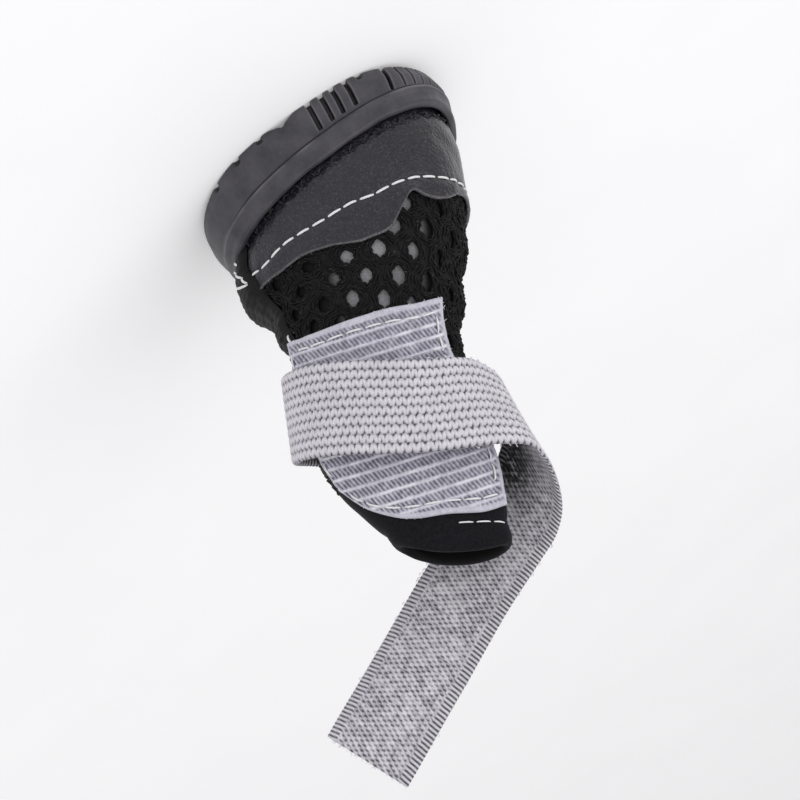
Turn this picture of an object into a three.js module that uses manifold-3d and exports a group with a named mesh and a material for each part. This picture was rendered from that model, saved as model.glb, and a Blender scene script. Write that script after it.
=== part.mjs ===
// Dog boot, one shoe, standing empty on its sole. Millimetres, +X toe, +Y left flank, +Z up.
// The origin is on the ground under the middle of the sole.
// Every textile piece is worked out from one function, skin(s, a, d): s is the mean height of a
// section of the upper, a is the angle round that section (0 at the toe, 90 on the left flank,
// 180 at the heel) and d is the distance outside the upper's outer face.
import * as THREE from 'three';
import { mergeVertices } from 'three/addons/utils/BufferGeometryUtils.js';
import Module from 'manifold-3d';

const wasm = await Module();
wasm.setup();

// ---------------------------------------------------------------- driving dimensions
const SOLE_MID_X = 0.4;        // middle of the sole outline
const SOLE_HALF_LENGTH = 29.3; // at the ridge
const BALL_HALF_WIDTH = 23.7;  // at the ridge, middle of the sole
const TOE_WIDER = 1.5;         // extra half width at the toe, less at the heel
const SOLE_ROUNDNESS = 2.4;    // superellipse exponent of the outline
const FLOOR_HEIGHT = 5.3;      // top of the rubber inside the cup
const CUP_INSET = 2.4;         // inner face of the cup wall, inside the outline
const UPPER_WALL = 1.6;
const GAP = 0.3;               // between neighbouring soft pieces
const LEATHER = 0.9;
const PANEL = 0.8;
const STRAP = 1.3;
const INSOLE = 2.0;
const HEEL_FLAT = [-17, -9];   // flat spots of the sole, both at z = 0
const FORE_FLAT = [-1, 9];
const TOE_SPRING = 3.0, HEEL_SPRING = 1.6, ARCH = 0.9;

// ---------------------------------------------------------------- sections of the upper
// heel and front point of each section, half width, extra half width in front, roundness,
// and how far the flanks crown above the straight line from heel to front
const SECTIONS = [
  { name: 'seat',      heelX: -24.8, heelZ: 5.6,  frontX: 25.6,  frontZ: 5.6,  half: 19.6, fore: 1.5, round: 2.4,  crown: 0 },
  { name: 'rim',       heelX: -25.0, heelZ: 12.4, frontX: 25.7,  frontZ: 11.0, half: 19.7, fore: 1.5, round: 2.4,  crown: 0 },
  { name: 'low vamp',  heelX: -27.8, heelZ: 17.6, frontX: 24.9,  frontZ: 15.8, half: 19.3, fore: 1.2, round: 2.35, crown: 0 },
  { name: 'vamp',      heelX: -28.4, heelZ: 23.5, frontX: 21.6,  frontZ: 23.0, half: 18.2, fore: 0.8, round: 2.3,  crown: 0 },
  { name: 'high vamp', heelX: -28.4, heelZ: 29.0, frontX: 18.8,  frontZ: 29.2, half: 16.8, fore: 0.5, round: 2.2,  crown: 0 },
  { name: 'instep',    heelX: -28.9, heelZ: 34.0, frontX: 13.9,  frontZ: 36.6, half: 15.2, fore: 0.2, round: 2.2,  crown: 0 },
  { name: 'low ankle', heelX: -30.8, heelZ: 39.5, frontX: 7.8,   frontZ: 44.4, half: 13.4, fore: 0.0, round: 2.2,  crown: 0 },
  { name: 'ankle',     heelX: -34.2, heelZ: 47.0, frontX: 2.0,   frontZ: 52.2, half: 12.0, fore: 0.0, round: 2.1,  crown: 0 },
  { name: 'strap',     heelX: -37.4, heelZ: 59.0, frontX: -3.8,  frontZ: 66.0, half: 10.4, fore: 0.0, round: 2.1,  crown: 0 },
  { name: 'shin',      heelX: -37.4, heelZ: 68.5, frontX: -8.3,  frontZ: 79.5, half: 8.4,  fore: 0.0, round: 2.1,  crown: 0.4 },
  { name: 'neck',      heelX: -35.8, heelZ: 76.3, frontX: -11.9, frontZ: 88.4, half: 6.3,  fore: 0.0, round: 2.2,  crown: 1.2 },
  { name: 'collar',    heelX: -33.8, heelZ: 83.4, frontX: -15.6, frontZ: 95.6, half: 4.9,  fore: 0.0, round: 2.4,  crown: 2.4 },
];

// outer rings of the rubber, from the ground up over the rim and down inside the cup
const SOLE_RINGS = [
  { name: 'ground',      out: 0.2,  level: 'ground', up: -3.0 },
  { name: 'tread edge',  out: 0.45, level: 'ground', up: 0.6 },
  { name: 'wall foot',   out: 0.8,  level: 'ground', up: 2.6 },
  { name: 'wall top',    out: 0.1,  level: 'ridge',  up: -1.1 },
  { name: 'ridge below', out: 0.5,  level: 'ridge',  up: -0.5 },
  { name: 'ridge above', out: 0.5,  level: 'ridge',  up: 0.3 },
  { name: 'band foot',   out: 0.0,  level: 'ridge',  up: 0.9 },
  { name: 'band top',    out: -0.5, level: 'rim',    up: -0.7 },
  { name: 'rim outside', out: -1.1, level: 'rim',    up: 0.0 },
  { name: 'rim inside',  out: -2.2, level: 'rim',    up: 0.0 },
  { name: 'cup wall',    out: -CUP_INSET, level: 'rim', up: -0.8 },
  { name: 'cup foot',    out: -CUP_INSET, level: 'floor', up: 0.0 },
];

// slots in the rubber: where along the sole, how wide, how deep into the wall, how high,
// and how deep the groove that runs on across the tread, or 0
const SLOTS = [
  { name: 'slot 1',   x: 1.4,   wide: 0.9, deep: 1.5, top: 6.6, groove: 0 },
  { name: 'slot 2',   x: 4.5,   wide: 0.9, deep: 1.5, top: 6.4, groove: 1.6 },
  { name: 'slot 3',   x: 7.2,   wide: 0.9, deep: 1.5, top: 6.2, groove: 0 },
  { name: 'slot 4',   x: 10.3,   wide: 0.9, deep: 1.5, top: 6.2, groove: 1.6 },
  { name: 'notch',    x: 13.6,  wide: 1.3, deep: 1.3, top: 2.4, groove: 1.6 },
  { name: 'toe slot', x: 18.8,  wide: 0.8, deep: 1.4, top: 6.6, groove: 1.8 },
  { name: 'waist',    x: -5.0,  wide: 1.0, deep: 0.9, top: 1.6, groove: 0 },
  { name: 'heel 1',   x: -10.5, wide: 1.0, deep: 0.9, top: 1.2, groove: 0.9 },
  { name: 'heel 2',   x: -16.4, wide: 1.0, deep: 0.9, top: 1.3, groove: 0.9 },
  { name: 'heel 3',   x: -22.5, wide: 1.0, deep: 0.9, top: 1.6, groove: 0.9 },
];

// upper edge of the leather: angle round the boot, section height
const LEATHER_EDGE = [
  { at: 0, top: 27.6 }, { at: 22, top: 28.1 }, { at: 42, top: 29.0 }, { at: 52, top: 27.9 },
  { at: 61, top: 26.1 }, { at: 67, top: 27.8 }, { at: 75, top: 30.3 }, { at: 83, top: 30.4 },
  { at: 90, top: 29.8 }, { at: 102, top: 27.3 }, { at: 116, top: 25.0 }, { at: 133, top: 23.9 },
  { at: 150, top: 22.4 }, { at: 180, top: 21.8 },
];
const LEATHER_FOOT = 7.5;

// hook tape panel on the left flank: lower and upper edge by angle
const PANEL_EDGES = [
  { name: 'front',      low: [39.6, 44.2], high: [19.5, 83.0] },
  { name: 'front half', low: [60.0, 44.4], high: [50.0, 83.8] },
  { name: 'middle',     low: [77.0, 43.6], high: [83.0, 83.2] },
  { name: 'back half',  low: [102.0, 42.1], high: [105.0, 83.2] },
  { name: 'back',       low: [125.0, 40.5], high: [124.0, 82.4] },
  { name: 'corner',     low: [145.0, 38.3], high: [144.0, 79.6] },
  { name: 'heel',       low: [163.0, 35.8], high: [161.0, 74.5] },
];

// the strap's lower and upper edge, from its sewn end on the right flank, round the heel,
// across the left flank, round the front in a slack turn and back behind the collar
const STRAP_PATH = [
  { name: 'sewn end',    low: [-12.0, -13.3, 56.0], high: [-21.6, -11.8, 72.6] },
  { name: 'far flank',   low: [-19.3, -14.0, 47.5], high: [-28.9, -12.2, 64.1] },
  { name: 'far heel',    low: [-26.7, -11.4, 39.5], high: [-35.7, -9.5, 56.4] },
  { name: 'heel turn',   low: [-33.3, 0.0, 38.4],   high: [-41.6, 0.0, 55.7] },
  { name: 'near heel',   low: [-28.5, 12.2, 44.4],  high: [-37.3, 10.2, 61.4] },
  { name: 'near back',   low: [-22.1, 15.4, 49.7],  high: [-31.8, 13.4, 66.2] },
  { name: 'near flank',  low: [-13.6, 15.6, 55.9],  high: [-23.4, 13.8, 72.3] },
  { name: 'near mid',    low: [-8.4, 14.0, 58.8],   high: [-17.2, 13.2, 75.9] },
  { name: 'near front',  low: [-3.4, 10.3, 60.0],   high: [-11.3, 11.2, 78.2] },
  { name: 'front in',    low: [0.9, 4.4, 61.4],     high: [-5.2, 7.7, 80.2] },
  { name: 'front turn',  low: [3.0, -1.0, 64.0],    high: [-0.8, 4.6, 82.6] },
  { name: 'front out',   low: [2.0, -6.0, 67.4],    high: [0.4, 0.8, 85.6] },
  { name: 'far turn',    low: [-0.5, -9.6, 70.8],   high: [0.0, -3.8, 89.3] },
  { name: 'far front',   low: [-4.6, -12.0, 74.2],  high: [-1.7, -8.2, 92.9] },
  { name: 'far side',    low: [-10.4, -13.2, 77.4], high: [-5.3, -11.2, 95.8] },
  { name: 'over collar', low: [-18.2, -13.6, 80.2], high: [-11.2, -12.9, 98.1] },
  { name: 'tail',        low: [-30.8, -13.4, 85.4], high: [-22.9, -13.2, 102.9] },
  { name: 'tail middle', low: [-47.9, -13.2, 93.8], high: [-39.8, -13.0, 111.2] },
  { name: 'tail end',    low: [-66.9, -13.0, 103.3], high: [-59.5, -12.8, 121.1] },
];

// ---------------------------------------------------------------- curves through tables
// smooth curve through rows of numbers at rising stations
function curve(stations, rows) {
  const n = stations.length, w = rows[0].length;
  const step = (i, k) => (rows[i + 1][k] - rows[i][k]) / (stations[i + 1] - stations[i]);
  const slope = rows.map((_, i) => Array.from({ length: w }, (_, k) => {
    if (i === 0) return step(0, k);
    if (i === n - 1) return step(n - 2, k);
    const a = stations[i] - stations[i - 1], b = stations[i + 1] - stations[i];
    return (step(i - 1, k) * b + step(i, k) * a) / (a + b);
  }));
  return (at) => {
    const x = Math.min(Math.max(at, stations[0]), stations[n - 1]);
    let i = 0;
    while (i < n - 2 && x > stations[i + 1]) i++;
    const h = stations[i + 1] - stations[i], t = (x - stations[i]) / h;
    return Array.from({ length: w }, (_, k) =>
      (1 + 2 * t) * (1 - t) ** 2 * rows[i][k] + t * (1 - t) ** 2 * h * slope[i][k] +
      t * t * (3 - 2 * t) * rows[i + 1][k] + t * t * (t - 1) * h * slope[i + 1][k]);
  };
}
const power = (v, e) => Math.sign(v) * Math.abs(v) ** e;

// ---------------------------------------------------------------- the upper's own function
const sectionHeights = SECTIONS.map((r) => (r.heelZ + r.frontZ) / 2);
const section = curve(sectionHeights,
  SECTIONS.map((r) => [r.heelX, r.heelZ, r.frontX, r.frontZ, r.half, r.fore, r.round, r.crown]));
const S_LOW = sectionHeights[0], S_TOP = sectionHeights[SECTIONS.length - 1];

function outerFace(s, a) {
  const [hx, hz, fx, fz, half, fore, round, crown] = section(s);
  const c = Math.cos(a), n = Math.sin(a), long = power(c, 2 / round);
  const tilt = crown * n * n / Math.hypot(fx - hx, fz - hz);
  return new THREE.Vector3(
    (hx + fx) / 2 + (fx - hx) / 2 * long - (fz - hz) * tilt,
    (half + fore * c) * power(n, 2 / round),
    (hz + fz) / 2 + (fz - hz) / 2 * long + (fx - hx) * tilt);
}
function skin(s, a, d) {
  const p = outerFace(s, a);
  if (d === 0) return p;
  const e = 1e-3, m = Math.min(Math.max(s, S_LOW + e), S_TOP - e);
  const up = outerFace(m + e, a).sub(outerFace(m - e, a));
  const round = outerFace(m, a + e).sub(outerFace(m, a - e));
  return p.addScaledVector(round.cross(up).normalize(), d);
}

// ---------------------------------------------------------------- solids from grids
function solid(positions, index) {
  const p = (i) => new THREE.Vector3().fromArray(positions, 3 * i);
  let volume = 0;
  for (let i = 0; i < index.length; i += 3)
    volume += p(index[i]).dot(p(index[i + 1]).cross(p(index[i + 2])));
  if (volume < 0) for (let i = 0; i < index.length; i += 3) [index[i], index[i + 1]] = [index[i + 1], index[i]];
  const g = new THREE.BufferGeometry();
  g.setAttribute('position', new THREE.Float32BufferAttribute(positions, 3));
  g.setIndex(index);
  return g;
}
// a sheet between two faces, face(u, v, side) with side 0 inside and 1 outside;
// ring closes it round u, otherwise its two ends are closed with walls
function sheet(us, vs, ring, face) {
  const nu = us.length, nv = vs.length, positions = [], index = [];
  for (const side of [0, 1]) for (const u of us) for (const v of vs) positions.push(...face(u, v, side).toArray());
  const id = (i, j, side) => side * nu * nv + (i % nu) * nv + j;
  const quad = (a, b, c, d) => index.push(a, b, c, a, c, d);
  const columns = ring ? nu : nu - 1;
  for (let i = 0; i < columns; i++) {
    for (let j = 0; j < nv - 1; j++) {
      quad(id(i, j, 1), id(i + 1, j, 1), id(i + 1, j + 1, 1), id(i, j + 1, 1));
      quad(id(i, j, 0), id(i, j + 1, 0), id(i + 1, j + 1, 0), id(i + 1, j, 0));
    }
    quad(id(i, 0, 0), id(i + 1, 0, 0), id(i + 1, 0, 1), id(i, 0, 1));
    quad(id(i, nv - 1, 0), id(i, nv - 1, 1), id(i + 1, nv - 1, 1), id(i + 1, nv - 1, 0));
  }
  if (!ring) for (let j = 0; j < nv - 1; j++) {
    quad(id(0, j, 0), id(0, j, 1), id(0, j + 1, 1), id(0, j + 1, 0));
    quad(id(nu - 1, j, 0), id(nu - 1, j + 1, 0), id(nu - 1, j + 1, 1), id(nu - 1, j, 1));
  }
  return solid(positions, index);
}
const spread = (from, to, count) => Array.from({ length: count }, (_, i) => from + (to - from) * i / (count - 1));
const around = (count) => Array.from({ length: count }, (_, i) => 2 * Math.PI * i / count);

// stacked rings closed with a flat cap at each end
function stack(rings) {
  const n = rings[0].length, positions = [], index = [];
  for (const ring of rings) for (const p of ring) positions.push(...p.toArray());
  for (let r = 0; r < rings.length - 1; r++) for (let i = 0; i < n; i++) {
    const a = r * n + i, b = r * n + (i + 1) % n;
    index.push(a, b, b + n, a, b + n, a + n);
  }
  const cap = (r, flip) => {
    const mid = rings[r].reduce((m, p) => m.add(p), new THREE.Vector3()).divideScalar(n);
    const k = positions.length / 3;
    positions.push(...mid.toArray());
    for (let i = 0; i < n; i++) {
      const a = r * n + i, b = r * n + (i + 1) % n;
      index.push(...(flip ? [k, a, b] : [k, b, a]));
    }
  };
  cap(0, false);
  cap(rings.length - 1, true);
  return solid(positions, index);
}

// ---------------------------------------------------------------- cutting
function manifold(geometry) {
  const bare = geometry.clone();
  bare.deleteAttribute('normal');
  bare.deleteAttribute('uv');
  const merged = mergeVertices(bare.index ? bare : mergeVertices(bare), 1e-5);
  return new wasm.Manifold(new wasm.Mesh({ numProp: 3,
    vertProperties: new Float32Array(merged.attributes.position.array),
    triVerts: new Uint32Array(merged.index.array) }));
}
function geometryOf(body) {
  const mesh = body.getMesh(), positions = [];
  for (let i = 0; i < mesh.vertProperties.length; i += mesh.numProp)
    positions.push(mesh.vertProperties[i], mesh.vertProperties[i + 1], mesh.vertProperties[i + 2]);
  const g = new THREE.BufferGeometry();
  g.setAttribute('position', new THREE.Float32BufferAttribute(positions, 3));
  g.setIndex(Array.from(mesh.triVerts));
  return g;
}

// ---------------------------------------------------------------- outsole
const ridgeHeight = (x) => 8.6 - 0.04 * x;
const rimHeight = (x) => 12.0 - 0.035 * x;
function ground(x) {
  if (x < HEEL_FLAT[0]) return HEEL_SPRING * ((HEEL_FLAT[0] - x) / 12) ** 2;
  if (x > FORE_FLAT[1]) return TOE_SPRING * ((x - FORE_FLAT[1]) / 20) ** 2;
  if (x > HEEL_FLAT[1] && x < FORE_FLAT[0])
    return ARCH * Math.sin(Math.PI * (x - HEEL_FLAT[1]) / (FORE_FLAT[0] - HEEL_FLAT[1])) ** 2;
  return 0;
}
function outline(a, out) {
  const c = Math.cos(a), e = 2 / SOLE_ROUNDNESS;
  return [SOLE_MID_X + (SOLE_HALF_LENGTH + out) * power(c, e),
    (BALL_HALF_WIDTH + out + TOE_WIDER * c) * power(Math.sin(a), e)];
}
function outsole() {
  const levels = { ground: (x) => ground(x), ridge: ridgeHeight, rim: rimHeight, floor: () => FLOOR_HEIGHT };
  const rings = SOLE_RINGS.map((r, i) => around(72).map((a) => {
    const [x, y] = outline(a, r.out);
    return new THREE.Vector3(x, y, i === 0 ? -3 : levels[r.level](x) + r.up);
  }));
  let body = manifold(stack(rings));
  // everything under the rocker line of the tread
  const under = new THREE.Shape();
  under.moveTo(-36, -6);
  under.lineTo(36, -6);
  for (const x of spread(36, FORE_FLAT[1], 10)) under.lineTo(x, ground(x));
  for (const x of spread(FORE_FLAT[0], HEEL_FLAT[1], 7)) under.lineTo(x, ground(x));
  for (const x of spread(HEEL_FLAT[0], -36, 9)) under.lineTo(x, ground(x));
  const block = new THREE.ExtrudeGeometry(under, { depth: 64, bevelEnabled: false });
  block.translate(0, 0, -32).rotateX(Math.PI / 2);
  body = body.subtract(manifold(block));
  const cutter = (sx, sy, sz, x, y, z, turn) => {
    const box = new THREE.BoxGeometry(sx, sy, sz);
    box.rotateZ(turn).translate(x, y, z);
    return manifold(box);
  };
  for (const slot of SLOTS) {
    if (slot.groove) {
      const top = ground(slot.x) + slot.groove, low = -2;
      body = body.subtract(cutter(slot.wide, 64, top - low, slot.x, 0, (top + low) / 2, 0));
    }
    const c = power((slot.x - SOLE_MID_X) / SOLE_HALF_LENGTH, SOLE_ROUNDNESS / 2);
    for (const side of [1, -1]) {
      const a = side * Math.acos(c), [x, y] = outline(a, 0);
      const [x1, y1] = outline(a + 0.02, 0), [x0, y0] = outline(a - 0.02, 0);
      const turn = Math.atan2(y0 - y1, x0 - x1);      // box Y along the outward normal
      const reach = 3, off = (reach - slot.deep) / 2;
      body = body.subtract(cutter(slot.wide, slot.deep + reach, slot.top + 2,
        x - Math.sin(turn) * off, y + Math.cos(turn) * off, (slot.top - 2) / 2, turn));
    }
  }
  return geometryOf(body);
}

// ---------------------------------------------------------------- upper, insole, leather
const rad = (deg) => deg * Math.PI / 180;
function upper() {
  const heights = [5.6, 9.5, 12.2, 16.7, 20, 23.3, 29.1, 35.3, 42, 49.6, 56, 62.5, 68.5, 74, 79, 83.2, 86.6, S_TOP];
  return sheet(around(48), heights, true, (a, s, side) => skin(s, a, side ? 0 : -UPPER_WALL));
}
function insole() {
  const low = FLOOR_HEIGHT + GAP, inset = -(UPPER_WALL + GAP);
  return stack([low, low + INSOLE].map((z) => around(48).map((a) => {
    const p = skin(S_LOW, a, inset);
    return new THREE.Vector3(p.x, p.y, z);
  })));
}
const leatherTop = curve(LEATHER_EDGE.map((r) => r.at), LEATHER_EDGE.map((r) => [r.top]));
function leatherBand() {
  return sheet(around(84), [0, 0.17, 0.34, 0.5, 0.75, 1], true, (a, v, side) => {
    const deg = a * 180 / Math.PI, top = leatherTop(deg > 180 ? 360 - deg : deg)[0];
    return skin(LEATHER_FOOT + (top - LEATHER_FOOT) * v, a, GAP + (side ? LEATHER : 0));
  });
}

// ---------------------------------------------------------------- hook panel and strap
function hookPanel() {
  const n = PANEL_EDGES.length;
  const edge = curve(PANEL_EDGES.map((_, i) => i / (n - 1)), PANEL_EDGES.map((r) => [...r.low, ...r.high]));
  return sheet(spread(0, 1, 21), spread(0, 1, 11), false, (u, v, side) => {
    const [a0, s0, a1, s1] = edge(u);
    return skin(s0 + (s1 - s0) * v, rad(a0 + (a1 - a0) * v), GAP + (side ? PANEL : 0));
  });
}
function ankleStrap() {
  const low = STRAP_PATH.map((r) => new THREE.Vector3(...r.low));
  const high = STRAP_PATH.map((r) => new THREE.Vector3(...r.high));
  const middle = low.map((p, i) => p.clone().add(high[i]).multiplyScalar(0.5));
  const stations = [0];
  for (let i = 1; i < middle.length; i++) stations.push(stations[i - 1] + middle[i].distanceTo(middle[i - 1]));
  const edge = curve(stations, STRAP_PATH.map((r) => [...r.low, ...r.high]));
  const length = stations[stations.length - 1];
  const at = (t) => {
    const e = edge(t);
    return [new THREE.Vector3(e[0], e[1], e[2]), new THREE.Vector3(e[3], e[4], e[5])];
  };
  return sheet(spread(0, length, 72), [0, 0.33, 0.67, 1], false, (t, v, side) => {
    const [l, h] = at(t), [l0, h0] = at(t - 0.4), [l1, h1] = at(t + 0.4);
    const along = l1.clone().add(h1).sub(l0).sub(h0), across = h.clone().sub(l);
    return l.clone().lerp(h, v).addScaledVector(along.cross(across).normalize(), (side - 0.5) * STRAP);
  });
}

// ---------------------------------------------------------------- assembly
const boot = new THREE.Group();
function piece(name, geometry, color, roughness) {
  geometry.computeVertexNormals();
  const mesh = new THREE.Mesh(geometry, new THREE.MeshStandardMaterial({ color, roughness, metalness: 0 }));
  mesh.name = name;
  boot.add(mesh);
}
piece('outsole', outsole(), 0x47464a, 0.6);
piece('insole', insole(), 0x1c1c1f, 0.9);
piece('upper', upper(), 0x19191c, 0.95);
piece('leather_band', leatherBand(), 0x3a393d, 0.5);
piece('hook_panel', hookPanel(), 0xa9a8b2, 0.7);
piece('ankle_strap', ankleStrap(), 0xb8b7bd, 0.9);

export default boot;
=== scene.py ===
import math
import bpy
import numpy as np
from mathutils import Matrix, Vector


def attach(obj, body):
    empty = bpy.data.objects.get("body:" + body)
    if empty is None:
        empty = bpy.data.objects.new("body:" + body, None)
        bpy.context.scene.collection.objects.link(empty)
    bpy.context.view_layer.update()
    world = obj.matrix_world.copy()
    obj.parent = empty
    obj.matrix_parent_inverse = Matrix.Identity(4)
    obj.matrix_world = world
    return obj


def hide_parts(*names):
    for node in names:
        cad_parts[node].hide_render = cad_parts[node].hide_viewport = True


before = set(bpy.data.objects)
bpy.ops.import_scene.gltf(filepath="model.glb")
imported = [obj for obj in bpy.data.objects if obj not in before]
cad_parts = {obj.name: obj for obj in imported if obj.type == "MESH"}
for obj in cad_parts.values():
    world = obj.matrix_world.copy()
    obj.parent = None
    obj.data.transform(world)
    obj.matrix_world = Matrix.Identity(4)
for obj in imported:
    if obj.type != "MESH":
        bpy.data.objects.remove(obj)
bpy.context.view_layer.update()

MM = 0.001
TAU = 2 * math.pi

# ------------------------------------------------------------------ sizes, in millimetres
SOLE_MID_X, SOLE_HALF_LENGTH, BALL_HALF_WIDTH, TOE_WIDER, SOLE_ROUNDNESS = 0.4, 29.3, 23.7, 1.5, 2.4
FLOOR_HEIGHT, UPPER_WALL, LEATHER_FOOT = 5.3, 1.6, 7.5
HEEL_FLAT, FORE_FLAT = (-17.0, -9.0), (-1.0, 9.0)
TOE_SPRING, HEEL_SPRING, ARCH = 3.0, 1.6, 0.9

# heel x, heel z, front x, front z, half width, extra in front, roundness, crown
SECTIONS = np.array([
    (-24.8, 5.6, 25.6, 5.6, 19.6, 1.5, 2.40, 0.0), (-25.0, 12.4, 25.7, 11.0, 19.7, 1.5, 2.40, 0.0),
    (-27.8, 17.6, 24.9, 15.8, 19.3, 1.2, 2.35, 0.0), (-28.4, 23.5, 21.6, 23.0, 18.2, 0.8, 2.30, 0.0),
    (-28.4, 29.0, 18.8, 29.2, 16.8, 0.5, 2.20, 0.0), (-28.9, 34.0, 13.9, 36.6, 15.2, 0.2, 2.20, 0.0),
    (-30.8, 39.5, 7.8, 44.4, 13.4, 0.0, 2.20, 0.0), (-34.2, 47.0, 2.0, 52.2, 12.0, 0.0, 2.10, 0.0),
    (-37.4, 59.0, -3.8, 66.0, 10.4, 0.0, 2.10, 0.0), (-37.4, 68.5, -8.3, 79.5, 8.4, 0.0, 2.10, 0.4),
    (-35.8, 76.3, -11.9, 88.4, 6.3, 0.0, 2.20, 1.2), (-33.8, 83.4, -15.6, 95.6, 4.9, 0.0, 2.40, 2.4)])
LEATHER_EDGE = [(0, 27.6), (22, 28.1), (42, 29.0), (52, 27.9), (61, 26.1), (67, 27.8), (75, 30.3), (83, 30.4),
                (90, 29.8), (102, 27.3), (116, 25.0), (133, 23.9), (150, 22.4), (180, 21.8)]
LEATHER_SEAM = [(0, 26.0), (18, 25.9), (34, 25.6), (46, 24.8), (55, 24.1), (69, 23.5), (81, 23.3), (90, 22.3),
                (102, 21.8), (111, 21.1), (123, 20.2), (139, 19.9), (156, 18.3), (180, 17.8)]
# angle and height of the panel's lower edge, then of its upper edge
PANEL_EDGES = np.array([(38.6, 44.2, 17.0, 83.0), (60.0, 44.4, 50.0, 83.8), (77.0, 43.6, 83.0, 83.2),
                        (102.0, 42.1, 105.0, 83.2), (125.0, 40.5, 124.0, 82.4), (145.0, 38.3, 144.0, 79.6),
                        (163.0, 35.8, 161.0, 74.5)])
STRAP_PATH = np.array([
    (-12.0, -12.2, 56.0, -21.6, -10.2, 72.6), (-19.3, -14.0, 47.5, -28.9, -11.4, 64.1),
    (-26.7, -11.4, 39.5, -35.7, -9.5, 56.4), (-33.3, 0.0, 38.4, -41.6, 0.0, 55.7),
    (-28.5, 12.2, 44.4, -37.3, 10.2, 61.4), (-22.1, 15.4, 49.7, -31.8, 13.4, 66.2),
    (-13.6, 15.6, 55.9, -23.4, 13.8, 72.3), (-8.4, 14.0, 58.8, -17.2, 13.2, 75.9),
    (-3.4, 10.3, 60.0, -11.3, 11.2, 78.2), (0.9, 4.4, 61.4, -5.2, 7.7, 80.2),
    (3.0, -1.0, 64.0, -0.8, 4.6, 82.6), (2.0, -6.0, 67.4, 0.4, 0.8, 85.6),
    (-0.5, -9.6, 70.8, 0.0, -3.8, 89.3), (-4.6, -12.0, 74.2, -1.7, -8.2, 92.9),
    (-10.4, -13.2, 77.4, -5.3, -11.2, 95.8), (-18.2, -13.6, 80.2, -11.2, -12.9, 98.1),
    (-30.8, -13.4, 85.4, -22.9, -13.2, 102.9), (-47.9, -13.2, 93.8, -39.8, -13.0, 111.2),
    (-66.9, -13.0, 103.3, -59.5, -12.8, 121.1)])


# ------------------------------------------------------------------ curves and the upper's own function
def tangents(x, y):
    d = np.diff(y, axis=0) / np.diff(x)[:, None]
    m = np.empty_like(y)
    m[0], m[-1] = d[0], d[-1]
    h = np.diff(x)
    w = (h[:-1] / (h[:-1] + h[1:]))[:, None]
    m[1:-1] = d[:-1] * (1 - w) + d[1:] * w
    return m


def hermite(x, y):
    x, y = np.asarray(x, float), np.asarray(y, float)
    if y.ndim == 1:
        f = hermite(x, y[:, None])
        return lambda q: f(q)[..., 0]
    m = tangents(x, y)

    def at(q):
        q = np.clip(np.asarray(q, float), x[0], x[-1])
        i = np.clip(np.searchsorted(x, q) - 1, 0, len(x) - 2)
        h = (x[i + 1] - x[i])[..., None]
        t = (q - x[i])[..., None] / h
        return ((1 + 2 * t) * (1 - t) ** 2 * y[i] + t * (1 - t) ** 2 * h * m[i]
                + t * t * (3 - 2 * t) * y[i + 1] + t * t * (t - 1) * h * m[i + 1])
    return at


def spow(v, e):
    return np.sign(v) * np.abs(v) ** e


def smooth(e0, e1, x):
    t = np.clip((np.asarray(x, float) - e0) / (e1 - e0), 0, 1)
    return t * t * (3 - 2 * t)


HEIGHTS = (SECTIONS[:, 1] + SECTIONS[:, 3]) / 2
S_LOW, S_TOP = HEIGHTS[0], HEIGHTS[-1]
section = hermite(HEIGHTS, SECTIONS)


def outer_face(s, a):
    s, a = np.broadcast_arrays(np.asarray(s, float), np.asarray(a, float))
    hx, hz, fx, fz, half, fore, rnd, crown = np.moveaxis(section(s), -1, 0)
    c, n = np.cos(a), np.sin(a)
    e = 2 / rnd
    long = spow(c, e)
    tilt = crown * n * n / np.hypot(fx - hx, fz - hz)
    return np.stack([(hx + fx) / 2 + (fx - hx) / 2 * long - (fz - hz) * tilt, (half + fore * c) * spow(n, e),
                     (hz + fz) / 2 + (fz - hz) / 2 * long + (fx - hx) * tilt], -1)


def normal_at(s, a):
    e = 2e-3
    m = np.clip(s, S_LOW + e, S_TOP - e)
    up = outer_face(m + e, a) - outer_face(m - e, a)
    rd = outer_face(m, np.asarray(a) + e) - outer_face(m, np.asarray(a) - e)
    n = np.cross(rd, up)
    return n / (np.linalg.norm(n, axis=-1, keepdims=True) + 1e-12)


def hashed(i, j, k, seed):
    h = (i * 73856093) ^ (j * 19349663) ^ (k * 83492791) ^ (seed * 374761393)
    h = (h ^ (h >> 13)) * 1274126177
    return ((h ^ (h >> 16)) & 0xffff) / 65535.0


def noise(p, size, seed=0):
    q = np.asarray(p, float) / size
    i = np.floor(q).astype(np.int64)
    f = q - i
    f = f * f * (3 - 2 * f)
    out = 0
    for dx in (0, 1):
        for dy in (0, 1):
            for dz in (0, 1):
                w = ((f[..., 0] if dx else 1 - f[..., 0]) * (f[..., 1] if dy else 1 - f[..., 1])
                     * (f[..., 2] if dz else 1 - f[..., 2]))
                out = out + w * hashed(i[..., 0] + dx, i[..., 1] + dy, i[..., 2] + dz, seed)
    return out * 2 - 1


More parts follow.
